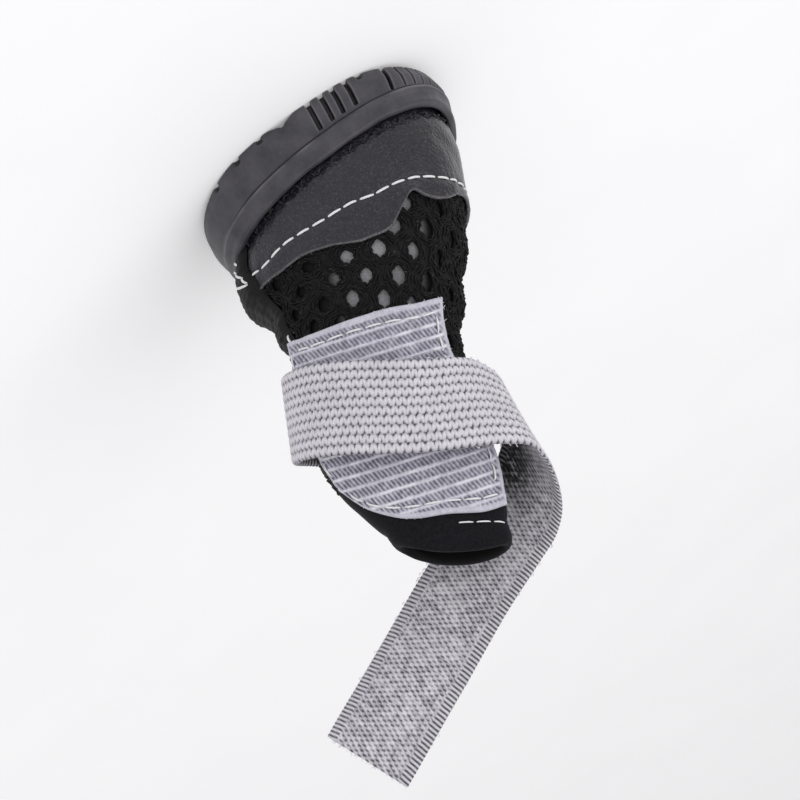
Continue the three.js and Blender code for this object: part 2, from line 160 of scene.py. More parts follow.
# main creases: from (height, angle) to (height, angle), half width and depth; a minus depth is a ridge
CREASES = [
    ('under the lobe', 32.5, -34, 31.0, 30, 1.6, 0.75), ('toe puff', 35.0, -30, 35.5, 34, 2.0, -0.15),
    ('toe fold', 40.5, -38, 38.5, 30, 1.9, 1.0), ('toe roll', 43.5, -25, 44.5, 26, 1.8, -0.45),
    ('shin fold', 49.5, -30, 47.0, 22, 1.8, 0.7), ('shin side', 37.0, 30, 45.0, 44, 1.6, 0.6),
    ('ankle near', 33.5, 118, 38.5, 146, 1.8, 0.4), ('ankle ridge', 29.0, 112, 34.0, 140, 1.8, -0.35),
    ('heel fold', 28.0, 166, 30.0, 196, 1.4, 0.55), ('heel roll', 32.0, 160, 33.0, 200, 1.3, -0.6),
    ('far ankle', 34.0, 222, 44.0, 262, 2.0, 0.5), ('far ridge', 38.0, 232, 49.0, 286, 2.0, -0.4),
    ('far toe', 36.0, 292, 42.0, 322, 1.8, 0.6), ('far shin', 54.0, 262, 60.0, 316, 2.4, 0.5),
    ('leather toe', 22.0, 14, 17.0, 34, 1.9, 0.3), ('leather lobe', 26.0, 26, 27.0, 44, 2.2, -0.35),
    ('leather side', 19.5, 84, 16.0, 118, 2.4, 0.22), ('leather heel', 17.0, 132, 21.0, 150, 1.6, 0.25),
    ('leather far', 18.0, 236, 22.0, 276, 2.2, 0.3), ('panel low', 50.0, 56, 46.0, 92, 2.4, 0.25),
    ('panel high', 74.0, 60, 78.0, 112, 2.2, 0.3)]


def relief(s, a):
    s, a = np.broadcast_arrays(np.asarray(s, float), np.asarray(a, float))
    deg = np.degrees(a) % 360
    radius = 24.5 - 0.14 * s
    out = np.zeros_like(s)
    for _, s0, a0, s1, a1, wide, deep in CREASES:
        for turn in (-360, 0, 360):
            du = np.radians(deg + turn - a0) * radius
            dv = (s - s0) * 1.12
            lu, lv = math.radians(a1 - a0) * (24.5 - 0.07 * (s0 + s1)), (s1 - s0) * 1.12
            length = math.hypot(lu, lv)
            t = (du * lu + dv * lv) / length ** 2
            off = (du * lv - dv * lu) / length
            off = off + 0.5 * np.sin(t * 5 + s0)
            end = smooth(-0.25, 0.12, t) * smooth(1.25, 0.88, t)
            out -= deep * end * np.exp(-(off / wide) ** 2)
    return out


def skin(s, a, d=0.0):
    s, a = np.broadcast_arrays(np.asarray(s, float), np.asarray(a, float))
    d = np.broadcast_to(np.asarray(d, float), s.shape)
    return outer_face(s, a) + normal_at(s, a) * (d + relief(s, a) * smooth(12.5, 17, s))[..., None]


# even spacing round a section: fraction of the way round to angle and back
_a = np.linspace(0, TAU, 4001)
_p = outer_face(np.full_like(_a, 36.0), _a)
_l = np.concatenate([[0], np.cumsum(np.linalg.norm(np.diff(_p, axis=0), axis=1))])
GIRTH = _l[-1]


def angle_of(q):
    q = np.asarray(q, float)
    return np.interp(q % 1.0, _l / GIRTH, _a) + np.floor(q) * TAU


def part_of(a):
    return np.interp(a % TAU, _a, _l / GIRTH)


# ------------------------------------------------------------------ meshes from grids
def make(name, verts, faces, material, attrs=None, outward=True):
    verts = np.asarray(verts, float).reshape(-1, 3)
    faces = [np.asarray(f, np.int64) for f in (faces if isinstance(faces, list) else [faces]) if len(f)]
    if outward:
        vol = 0.0
        for f in faces:
            for k in range(1, f.shape[1] - 1):
                vol += np.einsum('ij,ij->', verts[f[:, 0]], np.cross(verts[f[:, k]], verts[f[:, k + 1]]))
        if vol < 0:
            faces = [f[:, ::-1] for f in faces]
    loops = np.concatenate([f.reshape(-1) for f in faces]).astype(np.int32)
    counts = np.concatenate([np.full(len(f), f.shape[1]) for f in faces])
    me = bpy.data.meshes.new(name)
    me.vertices.add(len(verts))
    me.vertices.foreach_set('co', (verts * MM).astype(np.float32).ravel())
    me.loops.add(len(loops))
    me.loops.foreach_set('vertex_index', loops)
    me.polygons.add(len(counts))
    me.polygons.foreach_set('loop_start', np.concatenate([[0], np.cumsum(counts)[:-1]]).astype(np.int32))
    me.update(calc_edges=True)
    me.validate()
    me.polygons.foreach_set('use_smooth', np.ones(len(me.polygons), bool))
    for key, val in (attrs or {}).items():
        at = me.attributes.new(key, 'FLOAT', 'POINT')
        at.data.foreach_set('value', np.asarray(val, np.float32).ravel())
    me.materials.append(material)
    ob = bpy.data.objects.new(name, me)
    bpy.context.scene.collection.objects.link(ob)
    return ob


def quads(nu, nv, ring_u=False, ring_v=False, off=0):
    i = np.arange(nu if ring_u else nu - 1)
    j = np.arange(nv if ring_v else nv - 1)
    i, j = np.meshgrid(i, j, indexing='ij')
    i2, j2 = (i + 1) % nu, (j + 1) % nv
    return np.stack([i * nv + j, i2 * nv + j, i2 * nv + j2, i * nv + j2], -1).reshape(-1, 4) + off


class Bundle:
    """many small closed tubes joined in one mesh"""
    def __init__(self):
        self.v, self.q, self.t, self.n, self.a = [], [], [], 0, []

    def tube(self, path, radius, sides=6, flat=1.0, up=None, tint=0.5, ring=False):
        path = np.asarray(path, float)
        n = len(path)
        if ring:
            d = np.roll(path, -1, 0) - np.roll(path, 1, 0)
        else:
            d = np.gradient(path, axis=0)
        d /= np.linalg.norm(d, axis=1, keepdims=True) + 1e-9
        if up is None:
            up = np.tile(np.array([0.31, 0.57, 0.76]), (n, 1))
        up = np.broadcast_to(np.asarray(up, float), (n, 3))
        side = np.cross(d, up)
        side /= np.linalg.norm(side, axis=1, keepdims=True) + 1e-9
        top = np.cross(side, d)
        ang = np.arange(sides) * TAU / sides
        r = np.broadcast_to(np.asarray(radius, float), (n,))
        p = (path[:, None] + side[:, None] * (np.cos(ang)[None, :, None] * r[:, None, None])
             + top[:, None] * (np.sin(ang)[None, :, None] * r[:, None, None] * flat))
        self.v.append(p.reshape(-1, 3))
        self.q.append(quads(n, sides, ring, True, self.n))
        self.a.append(np.full(n * sides, tint))
        if not ring:
            self.v.append(path[[0, -1]])
            self.a.append(np.full(2, tint))
            e0, e1, k = self.n + n * sides, self.n + n * sides + 1, np.arange(sides)
            self.t.append(np.stack([np.full(sides, e0), self.n + (k + 1) % sides, self.n + k], 1))
            o = self.n + (n - 1) * sides
            self.t.append(np.stack([np.full(sides, e1), o + k, o + (k + 1) % sides], 1))
            self.n += 2
        self.n += n * sides

    def build(self, name, material):
        faces = [np.concatenate(self.q)] + ([np.concatenate(self.t)] if self.t else [])
        return make(name, np.concatenate(self.v), faces, material, {'tint': np.concatenate(self.a)})


def stitch_row(bundle, at, length, pitch, long, radius, lift, start=0.0, slant=0.0, sides=8):
    """at(l) gives point and normal at distance l along the seam, both as arrays"""
    l = start
    while l + long <= length:
        w = long * (1 + 0.10 * (hashed(np.int64(l * 977), np.int64(3), np.int64(5), 9) - 0.5))
        t = np.linspace(0, 1, 9)
        p, nrm = at(l + t * w)
        arch = np.sin(np.pi * np.clip(t * 1.04 - 0.02, 0, 1)) ** 0.45
        d = np.gradient(p, axis=0)
        sd = np.cross(nrm, d / (np.linalg.norm(d, axis=1, keepdims=True) + 1e-9))
        path = p + nrm * (lift * arch - radius * 1.1 * (1 - arch))[:, None] + sd * (slant * (t - 0.5))[:, None]
        bundle.tube(path, radius * (0.62 + 0.38 * arch), sides, 0.8, nrm,
                    0.35 + 0.5 * hashed(np.int64(l * 131), np.int64(1), np.int64(2), 4))
        l += pitch


def line_on(rows, height, count=1600):
    """a seam through (height, angle) rows on the skin, as a function of length"""
    rows = np.asarray(rows, float)
    f = hermite(np.arange(len(rows)), rows)
    q = f(np.linspace(0, len(rows) - 1, count))
    s, a = q[:, 0], np.radians(q[:, 1])
    p = skin(s, a, height)
    n = normal_at(s, a)
    ln = np.concatenate([[0], np.cumsum(np.linalg.norm(np.diff(p, axis=0), axis=1))])

    def at(l):
        return (np.stack([np.interp(l, ln, p[:, k]) for k in range(3)], -1),
                np.stack([np.interp(l, ln, n[:, k]) for k in range(3)], -1))
    return at, ln[-1]


# ------------------------------------------------------------------ materials
def lin(r, g, b):
    f = lambda c: c / 12.92 if c <= 0.04045 else ((c + 0.055) / 1.055) ** 2.4
    return (f(r / 255), f(g / 255), f(b / 255), 1.0)


class Mat:
    def __init__(self, name, rough, spec=0.5, sheen=0.0, sheen_rough=0.5, sheen_tint=(1, 1, 1, 1), coat=0.0):
        self.m = bpy.data.materials.new(name)
        self.m.use_nodes = True
        self.t = self.m.node_tree
        self.b = self.t.nodes['Principled BSDF']
        self.b.inputs['Roughness'].default_value = rough
        self.b.inputs['Specular IOR Level'].default_value = spec
        self.b.inputs['Sheen Weight'].default_value = sheen
        self.b.inputs['Sheen Roughness'].default_value = sheen_rough
        self.b.inputs['Sheen Tint'].default_value = sheen_tint
        self.b.inputs['Coat Weight'].default_value = coat
        self.c = self.node('ShaderNodeTexCoord').outputs['Object']

    def node(self, kind, **kw):
        n = self.t.nodes.new(kind)
        for k, v in kw.items():
            setattr(n, k, v)
        return n

    def put(self, sock, v):
        if isinstance(v, bpy.types.NodeSocket):
            self.t.links.new(v, sock)
        else:
            sock.default_value = v

    def stretch(self, x, y, z, rot=(0, 0, 0)):
        n = self.node('ShaderNodeMapping')
        self.put(n.inputs['Vector'], self.c)
        n.inputs['Scale'].default_value = (x, y, z)
        n.inputs['Rotation'].default_value = rot
        return n.outputs[0]

    def noise(self, size_mm, detail=3.0, rough=0.55, vec=None, distort=0.0):
        n = self.node('ShaderNodeTexNoise')
        self.put(n.inputs['Vector'], vec if vec is not None else self.c)
        n.inputs['Scale'].default_value = 1000.0 / size_mm
        n.inputs['Detail'].default_value = detail
        n.inputs['Roughness'].default_value = rough
        n.inputs['Distortion'].default_value = distort
        return n.outputs['Fac']

    def cells(self, size_mm, vec=None, feature='F1'):
        n = self.node('ShaderNodeTexVoronoi', feature=feature)
        self.put(n.inputs['Vector'], vec if vec is not None else self.c)
        n.inputs['Scale'].default_value = 1000.0 / size_mm
        return n.outputs['Distance']

    def attr(self, name):
        return self.node('ShaderNodeAttribute', attribute_name=name).outputs['Fac']

    def math(self, op, a, b=0.0, clamp=False):
        n = self.node('ShaderNodeMath', operation=op, use_clamp=clamp)
        self.put(n.inputs[0], a)
        self.put(n.inputs[1], b)
        return n.outputs[0]

    def ramp(self, fac, stops):
        n = self.node('ShaderNodeValToRGB')
        while len(n.color_ramp.elements) < len(stops):
            n.color_ramp.elements.new(0.5)
        for e, (pos, col) in zip(n.color_ramp.elements, stops):
            e.position = pos
            e.color = col if len(col) == 4 else (*col, 1)
        self.put(n.inputs['Fac'], fac)
        return n.outputs['Color']

    def mix(self, fac, a, b, kind='MIX'):
        n = self.node('ShaderNodeMix', data_type='RGBA', blend_type=kind)
        self.put(n.inputs[0], fac)
        self.put(n.inputs[6], a)
        self.put(n.inputs[7], b)
        return n.outputs[2]

    def span(self, fac, lo, hi):
        n = self.node('ShaderNodeMapRange')
        self.put(n.inputs['Value'], fac)
        n.inputs['To Min'].default_value = lo
        n.inputs['To Max'].default_value = hi
        return n.outputs[0]

    def bump(self, height, dist_mm, strength=1.0, prev=None):
        n = self.node('ShaderNodeBump')
        n.inputs['Distance'].default_value = dist_mm * MM
        n.inputs['Strength'].default_value = strength
        self.put(n.inputs['Height'], height)
        if prev is not None:
            self.put(n.inputs['Normal'], prev)
        self.put(self.b.inputs['Normal'], n.outputs[0])
        return n.outputs[0]

    def color(self, c):
        self.put(self.b.inputs['Base Color'], c)

    def rough(self, r):
        self.put(self.b.inputs['Roughness'], r)


def rubber_material():
    m = Mat('rubber', 0.55, 0.42)
    base = m.ramp(m.noise(5, 5, 0.65), [(0.3, lin(46, 45, 50)), (0.7, lin(72, 70, 76))])
    dust = m.ramp(m.noise(0.8, 5, 0.7), [(0.56, (0, 0, 0)), (0.78, (1, 1, 1))])
    base = m.mix(m.math('MULTIPLY', dust, 0.16), base, lin(120, 117, 120))
    # lighter lug edges, ridge line and rim: partly scuffed rubber, partly a painted highlight
    base = m.mix(m.math('MULTIPLY', m.attr('edge'), 0.55, True), base, lin(132, 128, 132))
    # painted shade: slots, tread grooves and the crease under the ridge are mixed towards near-black
    base = m.mix(m.math('MULTIPLY', m.attr('deep'), 0.8, True), base, lin(22, 21, 24))
    m.color(base)
    m.rough(m.span(m.noise(1.6, 4), 0.34, 0.62))
    n = m.bump(m.noise(0.35, 4, 0.6), 0.08, 0.7)
    m.bump(m.noise(3.5, 2), 0.22, 0.35, n)
    return m.m


def leather_material():
    m = Mat('leather', 0.34, 0.40, coat=0.10)
    v = m.stretch(1, 1, 1.0, (0.5, 0.3, 0.6))
    grain = m.cells(0.75, v)
    folds = m.noise(1.5, 4, 0.6, m.stretch(0.55, 1.0, 1.5, (0.2, 0.75, 0.0)), 0.8)
    base = m.ramp(m.noise(9, 3), [(0.3, lin(21, 20, 26)), (0.7, lin(33, 32, 40))])
    base = m.mix(m.math('MULTIPLY', m.ramp(folds, [(0.5, (0, 0, 0)), (0.8, (1, 1, 1))]), 0.22), base, lin(64, 62, 69))
    fuzz = m.ramp(m.noise(0.4, 3, 0.7), [(0.35, lin(50, 48, 52)), (0.7, lin(124, 119, 122))])
    # lighter specks over the grain: painted sparkle highlights
    painted_sparkle = m.ramp(m.noise(0.42, 3, 0.7), [(0.52, (0, 0, 0)), (0.70, (1, 1, 1))])
    base = m.mix(m.math('MULTIPLY', painted_sparkle, 0.34), base, lin(104, 102, 112))
    base = m.mix(m.attr('cut'), base, fuzz)
    m.color(base)
    m.rough(m.span(m.noise(1.0, 4), 0.20, 0.42))
    n = m.bump(grain, 0.17, 0.9)
    n = m.bump(m.noise(0.28, 3, 0.6), 0.035, 0.5, n)
    m.bump(folds, 0.16, 0.5, n)
    return m.m


def mesh_material(name, lo, hi, painted_glint):
    m = Mat(name, 0.55, 0.32)
    tw = m.noise(0.42, 4, 0.7, None, 1.2)
    big = m.noise(2.2, 3, 0.6)
    # the brightest stop paints glints onto the yarn's crests
    base = m.ramp(tw, [(0.42, lin(*lo)), (0.62, lin(*hi)), (0.77, lin(*painted_glint))])
    base = m.mix(m.ramp(big, [(0.35, (1, 1, 1)), (0.65, (0, 0, 0))]), base, lin(2, 2, 3))
    m.color(base)
    m.rough(m.span(tw, 0.5, 0.8))
    m.bump(m.noise(0.30, 3, 0.65, None, 1.0), 0.14, 0.8)
    return m.m


def lining_material():
    m = Mat('lining', 0.8, 0.3, sheen=0.1)
    weave = m.noise(0.5, 3, 0.6)
    grey = m.ramp(weave, [(0.3, lin(138, 137, 140)), (0.7, lin(172, 171, 174))])
    # painted shade: the lining is mixed towards near-black by the attribute read here
    m.color(m.mix(m.attr('painted_shade'), grey, lin(11, 11, 13)))
    m.bump(weave, 0.06, 0.5)
    return m.m


def black_cloth_material():
    m = Mat('collar_cloth', 0.85, 0.2, sheen=0.04, sheen_rough=0.5, sheen_tint=(0.7, 0.7, 0.8, 1))
    w = m.noise(0.55, 4, 0.6, m.stretch(1, 1, 1.6))
    base = m.ramp(w, [(0.3, lin(1, 1, 2)), (0.70, lin(24, 23, 29))])
    # painted shade: the collar's inner faces are mixed towards near-black
    m.color(m.mix(m.attr('painted_shade'), base, lin(5, 5, 6)))
    m.rough(m.span(m.noise(1.2), 0.75, 0.95))
    n = m.bump(w, 0.07, 0.6)
    m.bump(m.noise(4), 0.3, 0.3, n)
    return m.m


def thread_material(name, lo, hi):
    m = Mat(name, 0.5, 0.4, sheen=0.2)
    ply = m.noise(0.22, 2, 0.5, m.stretch(1, 1, 1, (0.6, 0.2, 0.7)))
    base = m.ramp(ply, [(0.3, lin(*lo)), (0.65, lin(*hi))])
    m.color(m.mix(m.math('MULTIPLY', m.attr('tint'), 0.25), base, lin(*lo)))
    m.rough(m.span(ply, 0.42, 0.6))
    m.bump(ply, 0.05, 0.6)
    return m.m


def relief_material(name, deep, mid, top, rough=0.7, bump=0.05, sheen=0.15, fine=0.3):
    m = Mat(name, rough, 0.35, sheen=sheen, sheen_rough=0.4)
    # colour follows the relief height: the troughs are painted darker as shade
    base = m.ramp(m.attr('h'), [(0.0, lin(*deep)), (0.42, lin(*mid)), (1.0, lin(*top))])
    n1 = m.noise(fine, 4, 0.7, None, 0.8)
    base = m.mix(m.math('MULTIPLY', m.ramp(n1, [(0.3, (1, 1, 1)), (0.55, (0, 0, 0))]), 0.32), base, lin(*deep))
    base = m.mix(m.math('MULTIPLY', m.ramp(m.noise(5, 3), [(0.35, (1, 1, 1)), (0.65, (0, 0, 0))]), 0.10), base, lin(*deep))
    base = m.mix(m.math('MULTIPLY', m.attr('white'), 0.85, True), base, lin(236, 234, 240))
    # painted shade, near-black, where the strap's inner face turns away from the tape
    base = m.mix(m.attr('painted_shade'), base, lin(34, 33, 32))
    m.color(base)
    m.rough(m.span(n1, rough - 0.12, min(rough + 0.15, 1.0)))
    m.bump(n1, bump, 0.7)
    return m.m


def insole_material():
    m = Mat('insole_cloth', 0.9, 0.2, sheen=0.25)
    w = m.noise(0.5, 3, 0.6)
    m.color(m.ramp(w, [(0.3, lin(22, 22, 25)), (0.7, lin(40, 39, 43))]))
    m.rough(m.span(w, 0.8, 0.98))
    m.bump(m.cells(0.9), 0.12, 0.6)
    return m.m


RUBBER, LEATHER = rubber_material(), leather_material()
# the last colour of each is a painted highlight on the yarn
NET = mesh_material('mesh_net', (1, 1, 2), (12, 11, 14), (84, 82, 90))
YARN = mesh_material('mesh_yarn', (1, 1, 2), (12, 11, 14), (205, 203, 212))
LINING, CLOTH = lining_material(), black_cloth_material()
WHITE = thread_material('white_thread', (214, 212, 214), (250, 249, 250))
BLACK = thread_material('black_thread', (8, 8, 9), (36, 35, 39))
KNIT = relief_material('knit', (72, 70, 78), (184, 181, 189), (232, 229, 235), 0.78, 0.05, 0.2)
HOOK = relief_material('hook', (94, 92, 104), (166, 164, 178), (222, 220, 231), 0.5, 0.06, 0.1)
FILAMENT = thread_material('filament', (196, 194, 206), (238, 237, 244))
INSOLE = insole_material()


def piece(ob, slot, *nodes):
    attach(ob, "root")
    if nodes:
        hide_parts(*nodes)
    return ob


# ------------------------------------------------------------------ rubber sole
def ground(x):
    x = np.asarray(x, float)
    g = np.where(x < HEEL_FLAT[0], HEEL_SPRING * ((HEEL_FLAT[0] - x) / 12) ** 2, 0.0)
    g = np.where(x > FORE_FLAT[1], TOE_SPRING * ((x - FORE_FLAT[1]) / 20) ** 2, g)
    mid = (x > HEEL_FLAT[1]) & (x < FORE_FLAT[0])
    return np.where(mid, ARCH * np.sin(np.pi * (x - HEEL_FLAT[1]) / (FORE_FLAT[0] - HEEL_FLAT[1])) ** 2, g)


def outline(a, out):
    c, e = np.cos(a), 2 / SOLE_ROUNDNESS
    return (SOLE_MID_X + (SOLE_HALF_LENGTH + out) * spow(c, e),
            (BALL_HALF_WIDTH + out + TOE_WIDER * c) * spow(np.sin(a), e))


# where along the sole, width, depth, top, groove across the tread
SLOTS = [(1.4, 0.9, 1.5, 6.7, 0), (4.5, 0.9, 1.5, 6.5, 1.6), (7.2, 0.9, 1.5, 6.4, 0), (10.3, 0.9, 1.5, 6.3, 1.6),
         (13.6, 1.0, 0.9, 1.5, 0), (18.8, 0.8, 1.4, 6.6, 1.8), (21.5, 0.5, 0.45, 6.5, 0), (23.7, 0.45, 0.45, 6.4, 0),
         (25.5, 0.45, 0.4, 6.3, 0), (27.0, 0.4, 0.4, 6.2, 0), (28.4, 0.4, 0.35, 6.2, 0),
         (-5.0, 1.2, 0.8, 1.5, 0), (-10.5, 1.2, 0.8, 1.4, 0.9), (-16.4, 1.2, 0.85, 1.5, 0.9), (-22.5, 1.2, 0.95, 1.8, 0.9)]
LEAN = 0.4


def rubber_sole():
    half = 560
    dense = np.linspace(0, np.pi, 24001)
    x, y = outline(dense, 0)
    arc = np.concatenate([[0], np.cumsum(np.hypot(np.diff(x), np.diff(y)))])
    pos = [np.interp(math.acos(float(spow(np.array((s[0] - SOLE_MID_X) / SOLE_HALF_LENGTH), SOLE_ROUNDNESS / 2))),
                     dense, arc) for s in SLOTS]
    dens = np.ones_like(arc)
    for p, s in zip(pos, SLOTS):
        dens += 3.0 * np.exp(-(np.abs(np.abs(arc - p) - s[1] / 2) / 0.42) ** 2)
    cum = np.concatenate([[0], np.cumsum((dens[1:] + dens[:-1]) / 2 * np.diff(arc))])
    ah = np.interp(np.linspace(0, cum[-1], half + 1), cum, dense)
    lh = np.interp(ah, dense, arc)
    a = np.concatenate([ah, -ah[-2:0:-1]])
    lr = np.concatenate([lh, lh[-2:0:-1]])
    n = len(a)
    rows = [(-0.35, 'g', 0.0), (0.05, 'g', 0.0), (0.30, 'g', 0.06), (0.46, 'g', 0.22), (0.52, 'g', 0.5)]
    rows += [(0.52 + 0.28 * t, 'g', 0.5 + 2.1 * t) for t in np.linspace(0.2, 1, 6)]
    rows += [(k, 'w', 0.0) for k in np.linspace(0.09, 1, 13)]
    rows += [(0.02, 'r', -0.95), (-0.16, 'r', -0.82), (-0.12, 'r', -0.66), (0.22, 'r', -0.56), (0.46, 'r', -0.44),
             (0.56, 'r', -0.22), (0.56, 'r', 0.02), (0.46, 'r', 0.24), (0.26, 'r', 0.46), (0.08, 'r', 0.70), (0.0, 'r', 0.9)]
    rows += [(k, 'b', 0.0) for k in (0.2, 0.4, 0.6, 0.8, 1.0)]
    rows += [(-0.66, 'm', -0.40), (-0.86, 'm', -0.14), (-1.15, 'm', 0.0), (-1.6, 'm', 0.04), (-1.95, 'm', 0.0),
             (-2.2, 'm', -0.12), (-2.36, 'm', -0.4), (-2.4, 'm', -1.0), (-2.4, 'm', -3.2), (-2.4, 'f', 0.3), (-2.55, 'f', 0.0)]
    x0, _ = outline(a, 0)
    ridge = 8.6 - 0.04 * x0
    rim = 12.0 - 0.035 * x0
    g = ground(x0)
    fade = smooth(-28, -17, x0)
    e = 1e-3
    xa, ya = outline(a + e, 0)
    xb, yb = outline(a - e, 0)
    tx, ty = xa - xb, ya - yb
    ln = np.hypot(tx, ty) + 1e-12
    nx, ny = ty / ln, -tx / ln
    P, edge, deep = [], [], []
    for out, kind, up in rows:
        o = np.full(n, float(out))
        if kind == 'g':
            z = g + up
        elif kind == 'w':
            z0, z1 = g + 2.6, ridge - 1.1
            z = z0 + (z1 - z0) * out
            o = 0.8 + (0.1 - 0.8) * out + 0.12 * np.sin(np.pi * out)
            o = np.full(n, 1.0) * o
        elif kind == 'r':
            z = ridge + up
            if up < -0.5:
                o = o * fade + 0.25 * (1 - fade)
            if -0.5 <= up < 0.6:
                o = 0.12 + (o - 0.12) * (0.45 + 0.55 * fade)
        elif kind == 'b':
            z0, z1 = ridge + 0.9, rim - 0.7
            z = z0 + (z1 - z0) * out
            o = np.full(n, -0.5 * out) - 0.16 * math.sin(math.pi * out)
        elif kind == 'm':
            z = rim + up
        else:
            z = np.full(n, FLOOR_HEIGHT + up)
        cut, rib = np.zeros(n), np.zeros(n)
        if kind in 'gw':
            for p, (sx, wide, dp, top, gr) in zip(pos, SLOTS):
                # the slots lean back a little and open out at the ground; the heel scallops are soft
                real = 0 < sx < 20
                off = np.abs(lr - p + (LEAN * (3.3 - z) / 3.3 if real else 0.0))
                reach = wide / 2 + (0.30 * np.exp(-(z - g) / 0.45) if real else 0.0)
                blend = 0.45 if sx < 0 or sx == 13.6 else 0.1
                m = smooth(reach + blend, reach - blend, off) * smooth(top + 0.25, top - 0.25, z)
                cut = np.maximum(cut, m * dp)
                rib = np.maximum(rib, np.exp(-((off - reach - 0.2) / 0.2) ** 2) * smooth(top + 0.5, top, z) * (sx > 0))
        xx, yy = outline(a, o)
        q = np.stack([xx - nx * cut, yy - ny * cut, z], -1)
        soft = noise(q, 6.0, 3) * 0.10 + noise(q, 2.2, 5) * 0.035
        k = 1.0 if kind in 'wbr' else 0.35
        q[:, 0] += nx * soft * k
        q[:, 1] += ny * soft * k
        if kind in 'm' and up > -0.5:
            q[:, 2] += noise(q, 3.0, 8) * 0.12
        P.append(q)
        # edge lightness: scuffing together with a painted highlight along the lug edges, the slot ribs, the ridge line
        # and the rim
        w = {'g': 0.9 if 0.04 < up < 0.45 else 0.15, 'w': 0.1, 'r': 0.85 if -0.5 < up < 0.1 else 0.2,
             'b': 0.08, 'm': 0.35 if up > -0.2 else 0.0, 'f': 0}[kind]
        edge.append(np.clip(w * (0.45 + 0.55 * noise(q, 4.0, 7)) + 0.55 * rib, 0, 1) * (cut < 0.05))
        # painted shade: darker by slot depth, and a dark line painted along the crease under the ridge
        deep.append(np.clip(cut / 0.7, 0, 1) + (0.9 * fade if kind == 'r' and -0.95 <= up <= -0.6 else 0))
    nr = len(P)
    V = [np.stack(P, 0).reshape(-1, 3)]
    E, D = [np.concatenate(edge)], [np.clip(np.concatenate(deep), 0, 1)]
    idx = np.arange(nr * n).reshape(nr, n)
    F = []

    def strip(r0, r1):
        F.append(np.stack([r0, np.roll(r0, -1), np.roll(r1, -1), r1], -1).reshape(-1, 4))
    for r in range(nr - 1):
        strip(idx[r], idx[r + 1])
    base = [nr * n]

    def fold(edge_row, ts, zfun, de):
        """rows that draw in to the middle line, so that cuts across stay sharp"""
        prev = edge_row
        ex, ey = V[0][edge_row][:, 0], V[0][edge_row][:, 1]
        for t in ts:
            if t > 0:
                p = np.stack([ex, ey * t, zfun(ex, ey * t)], -1)
                ids = np.arange(base[0], base[0] + n)
                base[0] += n
            else:
                hx = ex[:half + 1]
                p = np.stack([hx, hx * 0, zfun(hx, hx * 0)], -1)
                k = np.arange(half + 1) + base[0]
                ids = np.concatenate([k, k[-2:0:-1]])
                base[0] += half + 1
            V.append(p)
            E.append(np.full(len(p), 0.1))
            D.append(de(p))
            strip(prev, ids)
            prev = ids

    def tread(x, y):
        z = ground(x)
        up = np.zeros_like(x)
        for sx, wide, dp, top, gr in SLOTS:
            if gr:
                up = np.maximum(up, gr * smooth(wide / 2 + 0.12, wide / 2 - 0.12, np.abs(x - sx - (LEAN if 0 < sx < 20 else 0.0))))
        up = np.maximum(up, 0.8 * smooth(0.5, 0.3, np.abs(y)) * smooth(-24, -22, x) * smooth(25, 23, x))
        return z + up

    # the tread's cross grooves get painted shade by their depth
    fold(idx[0], (0.97, 0.93, 0.86, 0.76, 0.64, 0.5, 0.36, 0.24, 0.12, 0.022, 0.012, 0), tread,
         lambda p: np.clip((p[:, 2] - ground(p[:, 0])) / 1.2, 0, 1))
    fold(idx[-1], (0.7, 0.35, 0), lambda x, y: np.full_like(x, FLOOR_HEIGHT), lambda p: np.zeros(len(p)))
    faces = np.concatenate(F)
    tri = (faces[:, 0] == faces[:, 1]) | (faces[:, 2] == faces[:, 3])
    q4 = faces[~tri]
    t3 = np.array([[a for i, a in enumerate(f) if a != f[(i + 1) % 4]] for f in faces[tri]])
    t3 = [t3[:, :3]] if len(t3) and t3.ndim == 2 and t3.shape[1] >= 3 else []
    return make('rubber_sole', np.concatenate(V), [q4] + t3, RUBBER, {'edge': np.concatenate(E), 'deep': np.concatenate(D)})


piece(rubber_sole(), 'rubber', 'outsole')


# ------------------------------------------------------------------ insole pad
def insole_pad():
    a = np.linspace(0, TAU, 160, endpoint=False)
    edge = skin(np.full_like(a, S_LOW), a, -(UPPER_WALL + 0.3))
    cx = edge[:, 0].mean()
    prof = [(t, 5.6) for t in (0.0001, 0.35, 0.7, 0.93)] + [(0.985, 5.75), (1.0, 6.4), (0.99, 7.0), (0.965, 7.3)]
    prof += [(0.93, 7.45), (0.86, 7.55), (0.7, 7.6), (0.5, 7.6), (0.3, 7.6), (0.15, 7.6), (0.0001, 7.6)]
    V = []
    for t, z in prof:
        p = np.stack([cx + (edge[:, 0] - cx) * t, edge[:, 1] * t, np.full_like(a, z)], -1)
        if z > 7.2:
            p[:, 2] += 0.12 * noise(p, 5.0, 21) - 0.14
        V.append(p)
    V = np.stack(V, 0)
    n, m = len(a), len(prof)
    ids = np.arange(n * m).reshape(m, n)
    F = quads(m, n, False, True)
    lo, hi = n * m, n * m + 1
    k = np.arange(n)
    caps = np.concatenate([np.stack([np.full(n, lo), ids[0][(k + 1) % n], ids[0]], 1), np.stack([np.full(n, hi), ids[-1], ids[-1][(k + 1) % n]], 1)])
    pts = np.concatenate([V.reshape(-1, 3), [[cx, 0, 5.6], [cx, 0, V[-1][:, 2].mean()]]])
    return make('insole_pad', pts, [F, caps], INSOLE)


ins = piece(insole_pad(), 'insole_fabric', 'insole')

# ------------------------------------------------------------------ mesh net with its holes
COLUMNS, ROW_STEP = 16, 4.2
Q0 = float(part_of(np.array(math.radians(82.8))))


def net_height(row, q):
    a = angle_of(q)
    return 33.0 + ROW_STEP * row + 8.9 * (np.cos(a) - math.cos(math.radians(82.0)))


